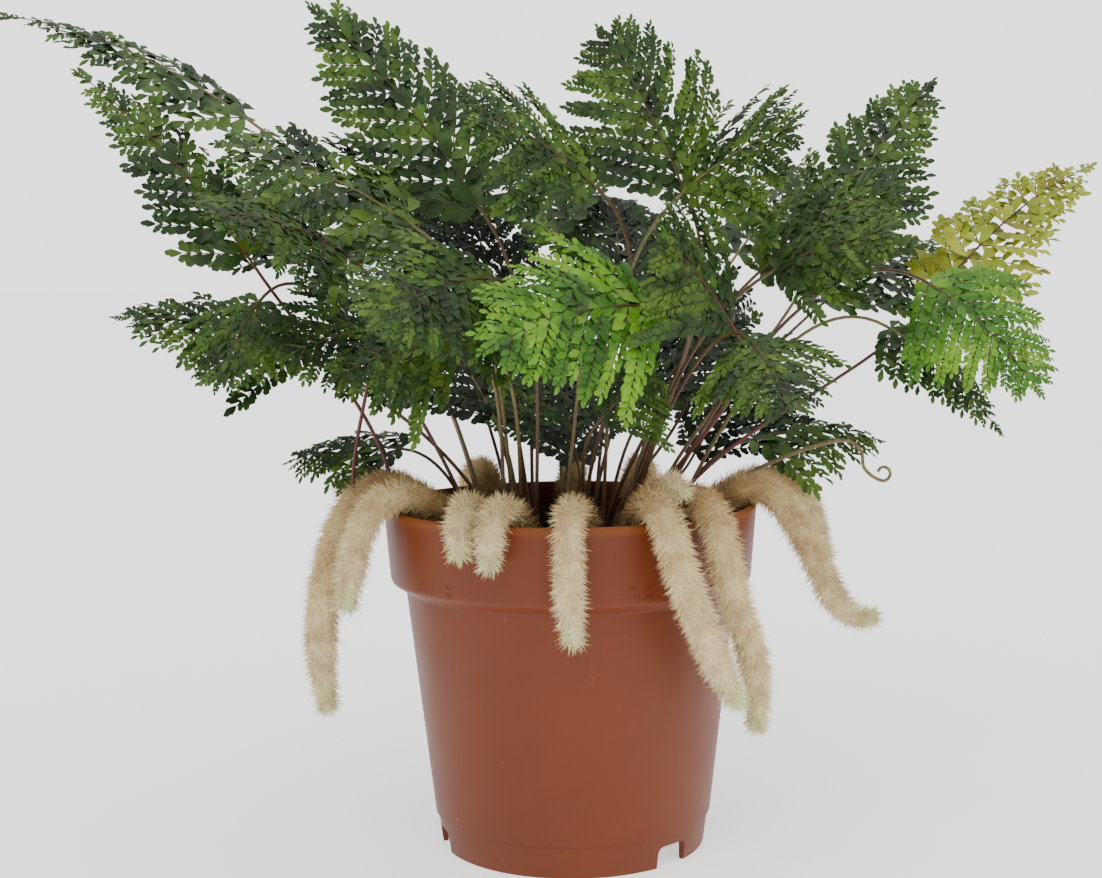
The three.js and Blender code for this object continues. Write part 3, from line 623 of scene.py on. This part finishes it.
def crozier_path():
    path = [CROZIER_ROOT - UP * 6] + [Vector((x, 0, z)) for x, z in CROZIER_STALK]
    for i in range(5):
        angle = math.radians(-80 + i * 62)
        reach = COIL_RADIUS * (1 - 0.075 * i)
        path.append(Vector((COIL_CENTRE[0] + reach * math.cos(angle), i * 0.35,
                            COIL_CENTRE[1] + reach * math.sin(angle))))
    return spline_through(path, 0.8)


def crozier_finish():
    material, tree, shader = new_finish("crozier_stalk", Roughness=0.5)
    along = add_node(tree, "ShaderNodeAttribute", attribute_name="along").outputs["Fac"]
    place = add_node(tree, "ShaderNodeTexCoord").outputs["Object"]
    stalk = colour_steps(tree, along, [(0.0, linear(84, 60, 38)), (0.6, linear(120, 108, 60)),
                                       (1.0, linear(146, 132, 80))])
    specks = colour_steps(tree, noise(tree, place, 900, 2), [(0.4, linear(120, 100, 80)),
                                                             (0.6, linear(255, 255, 255))])
    tree.links.new(mixed(tree, 0.6, stalk, specks, "MULTIPLY"), shader.inputs["Base Color"])
    return material


points = crozier_path()
last = len(points) - 1
stalk = Skeleton(("thickness", "along", "heading"))
stalk.line(points, thickness=[CROZIER_RADIUS * (1 - 0.37 * i / last) * MM for i in range(last + 1)],
           along=[i / last for i in range(last + 1)], heading=stem_headings(points))
crozier = grown(new_piece("coiled_frond", stalk.mesh("crozier")), furry, {
    "Density": SCALE_DENSITY, "Shortest": SCALE_LENGTHS[0], "Longest": SCALE_LENGTHS[1], "Seed": 30,
    "Bristles": bristles, "Finish": crozier_finish()})
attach(crozier, "root")
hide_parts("crozier")

# The fronds: leathery, glossy leaves divided three times, on wiry stalks that stand in the potting mix
# or on a rhizome. Pairs of ribs leave the midrib, and lobed leaflets stand along every rib.
# Each has a root (a point, or a distance from the pot's axis), the blade's base and tip, width and roll.
FRONDS = [
    ("far_left", 30, (-114, 2, 270), (-208, 0, 312), 48, -26, "full"),
    ("left_high", (-67, -11.8, 142.6), (-113, -20, 218), (-176, -22, 289), 48, -54, "full"),
    ("left_red", (-80, -15.5, 138), (-74, -50, 220), (-115, -106, 234), 84, -34, "full"),
    ("left_shoulder", 21, (-52, -16, 230), (-124, -36, 262), 84, -46, "medium"),
    ("left_low", 27, (-94, -24, 190), (-161, -38, 206), 60, -38, "medium"),
    ("left_hanging", 36, (-109, -38, 202), (-124, -56, 170), 54, -20, "small"),
    ("left_mid", 32, (-42, -40, 206), (-95, -78, 197), 84, -50, "full"),
    ("tall_left", 14, (-30, 8, 235), (-95, 2, 315), 78, -62, "full"),
    ("tall_mid", 26, (44, -24, 238), (11, -30, 301), 82, -78, "full"),
    ("right_top", 28, (93, 6, 217), (140, 18, 287), 64, 52, "full"),
    ("young_right", (30, -17, SOIL_TOP), (135, -2, 203), (206, 34, 255), 58, 40, "full"),
    ("bright_droop", 30, (125, -36, 211), (161, -62, 171), 66, 46, "full"),
    ("dark_droop", 37, (114, -22, 195), (153, -40, 156), 38, 36, "medium"),
    ("front_right_small", 28, (58, -72, 193), (69, -108, 169), 60, 20, "medium"),
    ("front_bright", 25, (33, -62, 203), (-29, -108, 190), 82, -58, "full"),
    ("low_left_bright", 30, (-40, -58, 188), (-84, -74, 174), 54, -48, "medium"),
    ("front_left", 35, (-24, -66, 213), (-62, -122, 198), 80, -48, "full"),
    ("mid_upper_left", 18, (10, -46, 234), (-36, -70, 260), 80, -56, "full"),
    ("mid_upper_right", 14, (41, -30, 231), (84, -50, 254), 80, 56, "medium"),
    ("right_mid", 22, (64, -40, 212), (115, -52, 245), 80, 48, "full"),
    ("right_front", 26, (68, -56, 214), (108, -82, 226), 62, 50, "medium"),
    ("front_mid", 34, (56, -60, 195), (28, -80, 227), 76, -76, "medium"),
    ("front_low", 27, (10, -44, 163), (31, -52, 180), 56, 66, "small"),
    ("mid_back_up", 10, (-3, 26, 228), (-15, 60, 270), 72, -20, "medium"),
    ("right_back", 25, (66, 46, 219), (112, 92, 257), 84, 30, "medium"),
    ("back_mid", 24, (18, 62, 226), (14, 142, 250), 84, 0, "medium"),
    ("left_back", 22, (-46, 52, 226), (-94, 112, 256), 84, -14, "medium"),
    ("far_left_back", 34, (-84, 30, 216), (-152, 62, 246), 80, -24, "medium"),
    ("right_back_low", 34, (96, 32, 200), (156, 74, 226), 72, 22, "medium"),
    ("back_low", 35, (24, 80, 196), (40, 158, 196), 74, 4, "medium"),
    ("back_low_left", 33, (-50, 70, 198), (-84, 138, 202), 74, -4, "medium"),
    ("low_left", 37, (-62, 14, 148), (-112, 24, 142), 56, -24, "small"),
    ("low_right", 37, (68, 14, 150), (124, 26, 148), 56, 24, "small"),
    ("inner_left", 19, (-27, 4, 143), (-54, 22, 186), 76, -24, "medium"),
    ("inner_front", 8, (3, -10, 143), (-4, 8, 180), 70, 0, "small"),
    ("inner_right", 14, (28, 6, 142), (65, 24, 181), 72, 24, "medium"),
    ("inner_back", 24, (-4, 34, 146), (-16, 62, 196), 84, 0, "medium"),
    ("inner_back_right", 30, (48, 30, 146), (82, 52, 185), 80, 20, "medium"),
    ("core_left", 28, (-39, 30, 162), (-63, 44, 209), 84, -20, "medium"),
    ("core_mid", 12, (22, 24, 191), (19, 48, 245), 84, 0, "medium"),
    ("core_right", 18, (51, 26, 185), (51, 48, 240), 84, 4, "medium"),
    ("core_left_up", 28, (-27, 36, 193), (-41, 60, 243), 84, -10, "medium"),
    ("mid_drop", 31, (-4, -50, 195), (-24, -78, 173), 60, -30, "small"),
]
PINNA_PAIRS = {"full": 12, "medium": 10, "small": 8}
FIRST_PINNA, LAST_PINNA = 0.05, 0.9
PINNA_ANGLES = (62, 46)
TURN_STEP, LIFT_STEP, SETTLE_REACH = 3, 5, 4
STUB = 6
STIPE_RADIUS, RACHIS_RADIUS, RIB_RADIUS, TWIG_RADIUS = 0.8, 0.62, 0.32, 0.12
LEAFLET_ROOM, LEAFLET_STEP, LEAFLET_TAPER, SHORTEST_LEAFLET = 1.35, 0.53, 0.5, 1.6
LEAFLET_LEAN, LEAFLET_TILT, YOUNG_TILT, LEAFLET_YAW = 43, 0.3, 0.5, 0.12
# Open fronds take a middle leaf tone. Fronds inside the tuft take a darker one: painted shade, standing for
# the shade the outer fronds cast on them.
OPEN_SHADE, INNER_PAINTED_SHADE = 0.5, 0.12


def bezier(points, t):
    """The point at t on the Bezier curve with these control points."""
    while len(points) > 1:
        points = [a.lerp(b, t) for a, b in zip(points, points[1:])]
    return points[0]


class Axis:
    """A frond's midline: a stub in its hole, the stipe, then the rachis, with the blade's own directions."""

    def __init__(self, root, base, tip, roll, turn, lift):
        if not isinstance(root, tuple):
            reach = root / math.hypot(base[0], base[1])
            root = (base[0] * reach, base[1] * reach, SOIL_TOP)
        self.root = Vector(root)
        swing = Matrix.Rotation(math.radians(turn * TURN_STEP), 3, "Z")
        self.base, self.tip = (swing @ (Vector(p) - self.root) + self.root + UP * lift * LIFT_STEP
                               for p in (base, tip))
        self.blade = (self.tip - self.base).length
        crest = (self.base + self.tip) / 2 + UP * 0.14 * self.blade
        rise = (crest - self.base).normalized()
        straight = self.base - self.root
        self.stalk = straight.length
        start = (straight.normalized() + UP).normalized()
        self.stipe = [self.root, self.root + start * self.stalk / 3, self.base - rise * self.stalk / 3,
                      self.base]
        self.rachis = [self.base, crest, self.tip]
        self.level = UP.cross(((self.tip - self.base) * Vector((1, 1, 0))).normalized())
        self.roll = math.radians(roll)

    def at(self, along):
        """Centre, side and normal at a distance along the midline; the blade starts at 0."""
        if along < -self.stalk:
            centre, tangent, turn = self.root + UP * (along + self.stalk), UP, 0
        elif along < 0:
            t = 1 + along / self.stalk
            centre, turn = bezier(self.stipe, t), self.roll * t
            tangent = bezier(self.stipe, t + 1e-3) - bezier(self.stipe, t - 1e-3)
        else:
            t = min(along / self.blade, 1)
            centre, turn = bezier(self.rachis, t), self.roll
            tangent = bezier(self.rachis, t + 1e-3) - bezier(self.rachis, t - 1e-3)
        tangent = tangent.normalized()
        side = (self.level - tangent * self.level.dot(tangent)).normalized()
        normal = tangent.cross(side)
        return (centre, side * math.cos(turn) + normal * math.sin(turn),
                normal * math.cos(turn) - side * math.sin(turn))

    def spot(self, along, across, width):
        """A point of the blade, and its normal there; the blade hangs a little to both sides."""
        centre, side, normal = self.at(along)
        hang = 0.22 * across * across / (width / 2)
        slope = 0.44 * across / (width / 2)
        return centre + side * across - normal * hang, (normal + side * slope).normalized()


def settled_axis(name, root, base, tip, roll):
    """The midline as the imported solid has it: the small turn and lift that put a vertex at the tip."""
    corners = [(v.co - POT_AXIS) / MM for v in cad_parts[f"frond_{name}"].data.vertices]
    reach = range(-SETTLE_REACH, SETTLE_REACH + 1)
    axes = [Axis(root, base, tip, roll, turn, lift) for turn in reach for lift in reach]
    return min(axes, key=lambda axis: min((corner - axis.tip).length for corner in corners))


def zipped(edge, line):
    """Triangles between two rows of vertices that run the same way, joining what is nearest."""
    faces, i, j = [], 0, 0
    while i < len(edge) - 1 or j < len(line) - 1:
        ahead_edge = edge[i + 1].co.y if i < len(edge) - 1 else 9
        ahead_line = line[j + 1].co.y if j < len(line) - 1 else 9
        if ahead_edge <= ahead_line:
            faces.append([edge[i], edge[i + 1], line[j]])
            i += 1
        else:
            faces.append([edge[i], line[j + 1], line[j]])
            j += 1
    return faces


def leaflet_mesh(outer, inner, mirrored):
    """A closed leaflet one unit long, with blunt lobes; it is folded a little and its end bends down."""
    border = [(0.05, 0)] + outer + [(0.02, 1)] + [(-x, y) for x, y in reversed(inner)] + [(-0.05, 0)]
    flip = -1 if mirrored else 1
    leaf = bmesh.new()

    def vertex(x, y, thick):
        return leaf.verts.new((x * flip, y, 0.28 * abs(x) - 0.2 * y * y + thick))

    rim = [vertex(x, y, 0) for x, y in border]
    half = len(outer) + 1
    for thick in (0.03, -0.03):
        middle = [vertex(0, y, thick) for y in (0.2, 0.68)]
        for edge in (rim[:half + 1], rim[half:][::-1]):
            for face in zipped(edge, middle):
                leaf.faces.new(face)
        leaf.faces.new([rim[0], middle[0], rim[-1]])
    bmesh.ops.recalc_face_normals(leaf, faces=leaf.faces)
    flat = leaf.loops.layers.uv.new("UVMap")
    for face in leaf.faces:
        face.smooth = True
        for loop in face.loops:
            loop[flat].uv = (0.5 + loop.vert.co.x * flip, loop.vert.co.y)
    for edge in leaf.edges:
        edge.smooth = not (edge.verts[0] in rim and edge.verts[1] in rim)
    mesh = bpy.data.meshes.new("leaflet")
    leaf.to_mesh(mesh)
    leaf.free()
    return mesh


FAN_LOBES = [(0.16, 0.26), (0.32, 0.56), (0.33, 0.74), (0.22, 0.76), (0.2, 0.95)]
OVAL_LOBES = [(0.2, 0.3), (0.29, 0.6), (0.2, 0.66), (0.19, 0.88)]
SLIM_LOBES = [(0.15, 0.3), (0.22, 0.58), (0.13, 0.84)]


def computed(tree, operation, first, second=0.0):
    return add_node(tree, "ShaderNodeMath", {0: first, 1: second}, operation=operation).outputs[0]


def leaf_finish(name, shades):
    """A leathery leaf: shades run from its darkest leaflets to its lightest."""
    material, tree, shader = new_finish(name, Roughness=0.48, Specular_IOR_Level=0.36)
    # The tone attribute darkens or lightens each leaflet. On the inner, core and back fronds, part of that
    # darkness is painted shade.
    tone = add_node(tree, "ShaderNodeAttribute", attribute_name="tone").outputs["Fac"]
    place = add_node(tree, "ShaderNodeTexCoord")
    cloudy = noise(tree, place.outputs["Object"], 55, 3)
    value = add_node(tree, "ShaderNodeMapRange", {"Value": cloudy, 1: 0.3, 2: 0.7, 3: -0.3, 4: 0.3})
    value = computed(tree, "ADD", tone, value.outputs[0])
    blade = colour_steps(tree, value, [(0.0, shades[0]), (0.5, shades[1]), (1.0, shades[2])])
    across, along, _ = add_node(tree, "ShaderNodeSeparateXYZ", {"Vector": place.outputs["UV"]}).outputs
    off = computed(tree, "ABSOLUTE", computed(tree, "SUBTRACT", across, 0.5))
    slant = add_node(tree, "ShaderNodeMath", {0: off, 1: -0.9, 2: along}, operation="MULTIPLY_ADD").outputs[0]
    veins = computed(tree, "MINIMUM", computed(tree, "PINGPONG", slant, 0.09), off)
    lines = colour_steps(tree, veins, [(0.0, linear(170, 190, 120)), (0.025, linear(255, 255, 255))])
    blade = mixed(tree, 0.2, blade, lines, "MULTIPLY")
    tree.links.new(blade, shader.inputs["Base Color"])
    relief = add_node(tree, "ShaderNodeMapRange", {"Value": veins, 1: 0.0, 2: 0.05, 3: 0.0, 4: 1.0})
    bump = add_node(tree, "ShaderNodeBump", {"Height": relief.outputs[0], "Strength": 0.3,
                                             "Distance": 0.0003})
    tree.links.new(bump.outputs["Normal"], shader.inputs["Normal"])
    return material


def stalk_finish(name, shades):
    """A wiry stalk: shades run from the root, through the start of the blade, to the ribs' tips."""
    material, tree, shader = new_finish(name, Roughness=0.42)
    along = add_node(tree, "ShaderNodeAttribute", attribute_name="along").outputs["Fac"]
    place = add_node(tree, "ShaderNodeTexCoord").outputs["Object"]
    bark = colour_steps(tree, along, [(0.0, shades[0]), (0.45, shades[1]), (0.8, shades[2])])
    flecks = colour_steps(tree, noise(tree, place, 700, 3), [(0.35, linear(140, 120, 100)),
                                                             (0.6, linear(255, 255, 255))])
    tree.links.new(mixed(tree, 0.5, bark, flecks, "MULTIPLY"), shader.inputs["Base Color"])
    return material


def above_zero(tree, value):
    return add_node(tree, "FunctionNodeCompare", {0: value, 1: 0.0}, operation="GREATER_THAN").outputs[0]


def leaflet_turn(tree, given, side, seed):
    """How a leaflet is turned: it lies in the blade, leans off the rib to its side, and rocks a little."""
    tangent = add_node(tree, "GeometryNodeInputTangent").outputs[0]
    facing = value_of(tree, "facing", "FLOAT_VECTOR")
    across = combined(tree, facing, tangent, "CROSS_PRODUCT")
    onward = scaled(tree, tangent, computed(tree, "COSINE", given["Lean"]))
    outward = scaled(tree, across, computed(tree, "MULTIPLY", computed(tree, "SINE", given["Lean"]), side))
    way = combined(tree, onward, outward) if side else tangent
    upright = add_node(tree, "FunctionNodeAlignRotationToVector", {"Vector": facing}, axis="Z").outputs[0]
    turned = add_node(tree, "FunctionNodeAlignRotationToVector", {"Rotation": upright, "Vector": way},
                      axis="Y", pivot_axis="Z").outputs[0]
    limits = []
    for tilt, yaw in ((computed(tree, "MULTIPLY", given["Tilt"], -1.0), -LEAFLET_YAW),
                      (given["Tilt"], LEAFLET_YAW)):
        limits.append(add_node(tree, "ShaderNodeCombineXYZ", {"X": tilt, "Y": tilt, "Z": yaw}).outputs[0])
    rock = add_node(tree, "FunctionNodeEulerToRotation", {
        "Euler": random_value(tree, *limits, seed, "FLOAT_VECTOR")}).outputs[0]
    return add_node(tree, "FunctionNodeRotateRotation", {"Rotation": turned, "Rotate By": rock},
                    rotation_space="LOCAL").outputs[0]


def frond_tree():
    tree, given = new_tree("Fern frond", [
        ("Lean", "Float"), ("Tilt", "Float"), ("Seed", "Int"), ("Left leaflets", "Collection"),
        ("Right leaflets", "Collection"), ("End leaflets", "Collection"), ("Leaf finish", "Material"),
        ("Stalk finish", "Material")])
    lines = add_node(tree, "GeometryNodeMeshToCurve", {"Mesh": given["Geometry"]}).outputs[0]
    thickness = value_of(tree, "thickness")
    stems = add_node(tree, "GeometryNodeSeparateGeometry", {
        "Geometry": lines, "Selection": above_zero(tree, thickness)}, domain="CURVE").outputs[0]
    grown_parts = [finished(tree, stem_tube(tree, stems, thickness, 5), given["Stalk finish"])]
    for number, (label, side) in enumerate((("Left", 1.0), ("Right", -1.0), ("End", 0.0))):
        seed = computed(tree, "ADD", given["Seed"], 10.0 * number)
        size = value_of(tree, f"{label.lower()}_size")
        spread = computed(tree, "MULTIPLY", size, random_value(tree, 0.9, 1.12, seed))
        turn = leaflet_turn(tree, given, side, seed)
        leaves = sown(tree, lines, given[f"{label} leaflets"], number, turn, spread)
        tree.links.new(above_zero(tree, size), leaves.inputs["Selection"])
        # The shade value holds the frond's level, which is painted shade on the inner fronds, plus a random
        # step per pinna and lighter pinna tips.
        tone = computed(tree, "ADD", value_of(tree, "shade"), random_value(tree, -0.16, 0.16, seed))
        grown_parts.append(finished(tree, with_tone(tree, leaves.outputs[0], tone), given["Leaf finish"]))
    whole = add_node(tree, "GeometryNodeJoinGeometry")
    for part in grown_parts:
        tree.links.new(part, whole.inputs[0])
    end_tree(tree, whole.outputs[0])
    return tree


class Pinna:
    """A pinna's midline on the blade: bowed a little towards the blade's tip, and drooping at its end."""

    def __init__(self, axis, width, start, way, angle, length, draw):
        self.axis, self.width, self.start, self.way, self.angle = axis, width, start, way, angle
        self.length = length
        self.bow = math.radians(5) if angle > 0.3 else 0
        self.droop, self.twist = draw.uniform(0.0, 0.16), draw.uniform(-0.45, 0.45)
        self.shade = draw.uniform(-0.2, 0.2)

    def at(self, run):
        share = run / self.length
        heading = self.angle - self.bow * share
        along = self.start + run * math.cos(heading)
        across = self.way * run * math.sin(heading)
        point, facing = self.axis.spot(along, across, self.width)
        side = facing.cross(self.axis.tip - self.axis.base).normalized()
        sag = facing * self.droop * self.length * share ** 2
        return point - sag, (facing + side * self.twist * share).normalized()


def frond_skeleton(axis, width, pairs, shade, draw):
    """The stipe with the rachis, then for each pinna its rib and the places of its leaflets."""
    lines = Skeleton(("thickness", "along", "facing", "shade", "left_size", "right_size", "end_size"))
    runs = [-axis.stalk - STUB + (axis.stalk + STUB + axis.blade) * i / 40 for i in range(41)]
    spots = [axis.spot(run, 0, width) for run in runs]
    thin = [STIPE_RADIUS + (RACHIS_RADIUS - STIPE_RADIUS) * (run + axis.stalk) / axis.stalk if run < 0
            else RACHIS_RADIUS * (1 - 0.75 * run / axis.blade) for run in runs]
    lines.line([s[0] for s in spots], thickness=[t * MM for t in thin], facing=[s[1] for s in spots],
               along=[0.45 * (1 + min(run, 0) / (axis.stalk + STUB)) + 0.4 * max(run, 0) / axis.blade
                      for run in runs])
    for i in range(pairs + 1):
        part = i / pairs
        place, after = (FIRST_PINNA + (LAST_PINNA - FIRST_PINNA) * (n / pairs) ** 0.9 for n in (i, i + 1))
        lean = math.radians(PINNA_ANGLES[0] + (PINNA_ANGLES[1] - PINNA_ANGLES[0]) * part)
        for way in (1, -1) if i < pairs else (1,):
            angle = (lean if i < pairs else 0) + math.radians(draw.uniform(-6, 6))
            length = width / 2 * (1 - place) ** 0.85 / math.sin(lean) * draw.uniform(0.86, 1.08)
            if i == pairs:
                length = axis.blade * (1 - place)
            reach = min(0.46 * length, LEAFLET_ROOM * (after - place) * axis.blade * math.sin(lean))
            pinna = Pinna(axis, width, place * axis.blade, way, angle, length, draw)
            add_pinna(lines, pinna, reach, shade)
    return lines


def add_pinna(lines, pinna, reach, shade):
    """A pinna's rib, and its leaflets: the smaller they are, the closer they stand."""
    spots = [pinna.at(pinna.length * i / 4) for i in range(5)]
    lines.line([s[0] for s in spots], facing=[s[1] for s in spots],
               along=[0.62 + 0.095 * i for i in range(5)],
               thickness=[(RIB_RADIUS + (TWIG_RADIUS - RIB_RADIUS) * i / 4) * MM for i in range(5)])
    runs, sizes = [reach * 0.1], [reach]
    while runs[-1] + sizes[-1] * LEAFLET_STEP < pinna.length - SHORTEST_LEAFLET:
        runs.append(runs[-1] + sizes[-1] * LEAFLET_STEP)
        sizes.append(max(SHORTEST_LEAFLET, reach * (1 - LEAFLET_TAPER * runs[-1] / pinna.length)))
    end = runs[-1] + sizes[-1] * 0.5
    spots = [pinna.at(run) for run in (*runs, end)]
    upper, lower = ([size * share * MM for size in sizes] + [0.0] for share in (1.08, 0.92))
    left, right = (lower, upper) if pinna.way > 0 else (upper, lower)
    # Each leaflet's shade value is the frond's level (painted shade on the inner fronds), plus the pinna's
    # random step, and it gets lighter towards the pinna's tip.
    lines.line([s[0] for s in spots], facing=[s[1] for s in spots], left_size=left, right_size=right,
               end_size=[0.0] * len(runs) + [max(pinna.length - end, sizes[-1]) * 1.1 * MM],
               shade=[shade + pinna.shade + 0.15 * run / pinna.length for run in (*runs, end)])


def leaflets(label, kinds, mirrored=False):
    return shape_set(label, [leaflet_mesh(outer, inner, mirrored) for outer, inner in kinds])


def stalk_of(name, number):
    if name in RED_STALKED:
        return RED_STALK
    return OLIVE_STALK if number % 3 == 0 else BROWN_STALK


DEEP_GREEN, FRESH_GREEN, YOUNG_GREEN = (
    leaf_finish(name, [linear(*shade) for shade in shades]) for name, shades in (
        ("leaf_deep_green", ((7, 20, 2), (34, 62, 5), (82, 112, 22))),
        ("leaf_fresh_green", ((30, 70, 5), (70, 120, 12), (120, 164, 34))),
        ("leaf_young", ((104, 92, 14), (134, 146, 22), (168, 178, 48)))))
BROWN_STALK, OLIVE_STALK, RED_STALK = (
    stalk_finish(name, [linear(*shade) for shade in shades]) for name, shades in (
        ("stalk_brown", ((92, 52, 26), (84, 64, 28), (44, 52, 14))),
        ("stalk_olive", ((112, 84, 46), (118, 112, 58), (52, 66, 20))),
        ("stalk_red", ((92, 30, 22), (88, 38, 26), (50, 44, 18)))))
SIDE_LEAFLETS = ((FAN_LOBES, OVAL_LOBES), (OVAL_LOBES, OVAL_LOBES), (FAN_LOBES, SLIM_LOBES))
END_LEAFLETS = ((OVAL_LOBES, SLIM_LOBES), (SLIM_LOBES, OVAL_LOBES))
left_leaves = leaflets("leaf_left", SIDE_LEAFLETS)
right_leaves = leaflets("leaf_right", SIDE_LEAFLETS, mirrored=True)
end_leaves = leaflets("leaf_end", END_LEAFLETS)
FRESH = {"bright_droop": (FRESH_GREEN, "bright_frond"), "front_bright": (FRESH_GREEN, "bright_frond"),
         "young_right": (YOUNG_GREEN, "young_frond")}
RED_STALKED = ("left_red", "left_high", "young_right", "front_mid")
fern = frond_tree()
for number, (name, root, base, tip, width, roll, size) in enumerate(FRONDS):
    axis = settled_axis(name, root, base, tip, roll)
    # The inner, core and back fronds are painted darker: painted shade where the fronds around them shade
    # them.
    shade = INNER_PAINTED_SHADE if name.startswith(("inner", "core", "back")) else OPEN_SHADE
    skeleton = frond_skeleton(axis, width, PINNA_PAIRS[size], shade, random.Random(100 + number))
    leaf, slot = FRESH.get(name, (DEEP_GREEN, "frond"))
    frond = grown(new_piece(f"leafy_frond_{name}", skeleton.mesh(name)), fern, {
        "Lean": math.radians(LEAFLET_LEAN), "Tilt": YOUNG_TILT if leaf is YOUNG_GREEN else LEAFLET_TILT,
        "Seed": number, "Left leaflets": left_leaves, "Right leaflets": right_leaves,
        "End leaflets": end_leaves, "Leaf finish": leaf, "Stalk finish": stalk_of(name, number)})
    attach(frond, "root")
    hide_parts(f"frond_{name}")

# The studio: a pale floor that runs into a white background, large soft lights, and the camera at the
# photograph's place.
CAMERA_PLACE = (-0.00587, -0.665, 0.2126)
CAMERA_PITCH = 5.27
CAMERA_ROLL = -0.625
CAMERA_LENS = 56.37
SKY_LIGHT = 0.5
BACKDROP_LIGHT = 2.2
FLOOR_GLOW = 0.9
FLOOR_HALF = 60


def soft_light(name, direction, spread, strength):
    """A light from far away in that direction, as wide as spread degrees."""
    lamp = bpy.data.lights.new(name, "SUN")
    lamp.angle = math.radians(spread)
    lamp.energy = strength
    holder = bpy.data.objects.new(name, lamp)
    holder.rotation_euler = Vector(direction).to_track_quat("Z", "Y").to_euler()
    bpy.context.scene.collection.objects.link(holder)


def floor_finish():
    return new_finish("studio_floor", Roughness=0.9, Specular_IOR_Level=0.1, Base_Color=(0.9, 0.9, 0.9, 1),
                      Emission_Color=(1, 1, 1, 1), Emission_Strength=FLOOR_GLOW)[0]


floor_mesh = bpy.data.meshes.new("floor")
floor_mesh.from_pydata([(x * FLOOR_HALF, y * FLOOR_HALF, 0) for x, y in ((-1, -1), (1, -1), (1, 1), (-1, 1))],
                       [], [(0, 1, 2, 3)])
floor_mesh.materials.append(floor_finish())
floor = new_piece("studio_floor", floor_mesh)

world = bpy.data.worlds.new("studio")
world.use_nodes = True
backdrop = world.node_tree
seen = add_node(backdrop, "ShaderNodeLightPath").outputs["Is Camera Ray"]
strength = add_node(backdrop, "ShaderNodeMapRange", {"Value": seen, 3: SKY_LIGHT, 4: BACKDROP_LIGHT})
backdrop.links.new(strength.outputs[0], backdrop.nodes["Background"].inputs["Strength"])
backdrop.nodes["Background"].inputs["Color"].default_value = (1, 1, 1, 1)
bpy.context.scene.world = world
soft_light("key", (-0.3, -0.8, 1.0), 40, 1.5)
soft_light("fill", (0.9, -0.5, 0.5), 80, 0.9)
soft_light("top", (0.1, 0.2, 1.0), 50, 1.3)

lens = bpy.data.cameras.new("camera")
lens.sensor_width = 36
lens.lens = CAMERA_LENS
camera = bpy.data.objects.new("camera", lens)
camera.matrix_world = (Matrix.Translation(CAMERA_PLACE)
                       @ Matrix.Rotation(math.radians(90 - CAMERA_PITCH), 4, "X")
                       @ Matrix.Rotation(math.radians(CAMERA_ROLL), 4, "Z"))
bpy.context.scene.collection.objects.link(camera)
bpy.context.scene.camera = camera
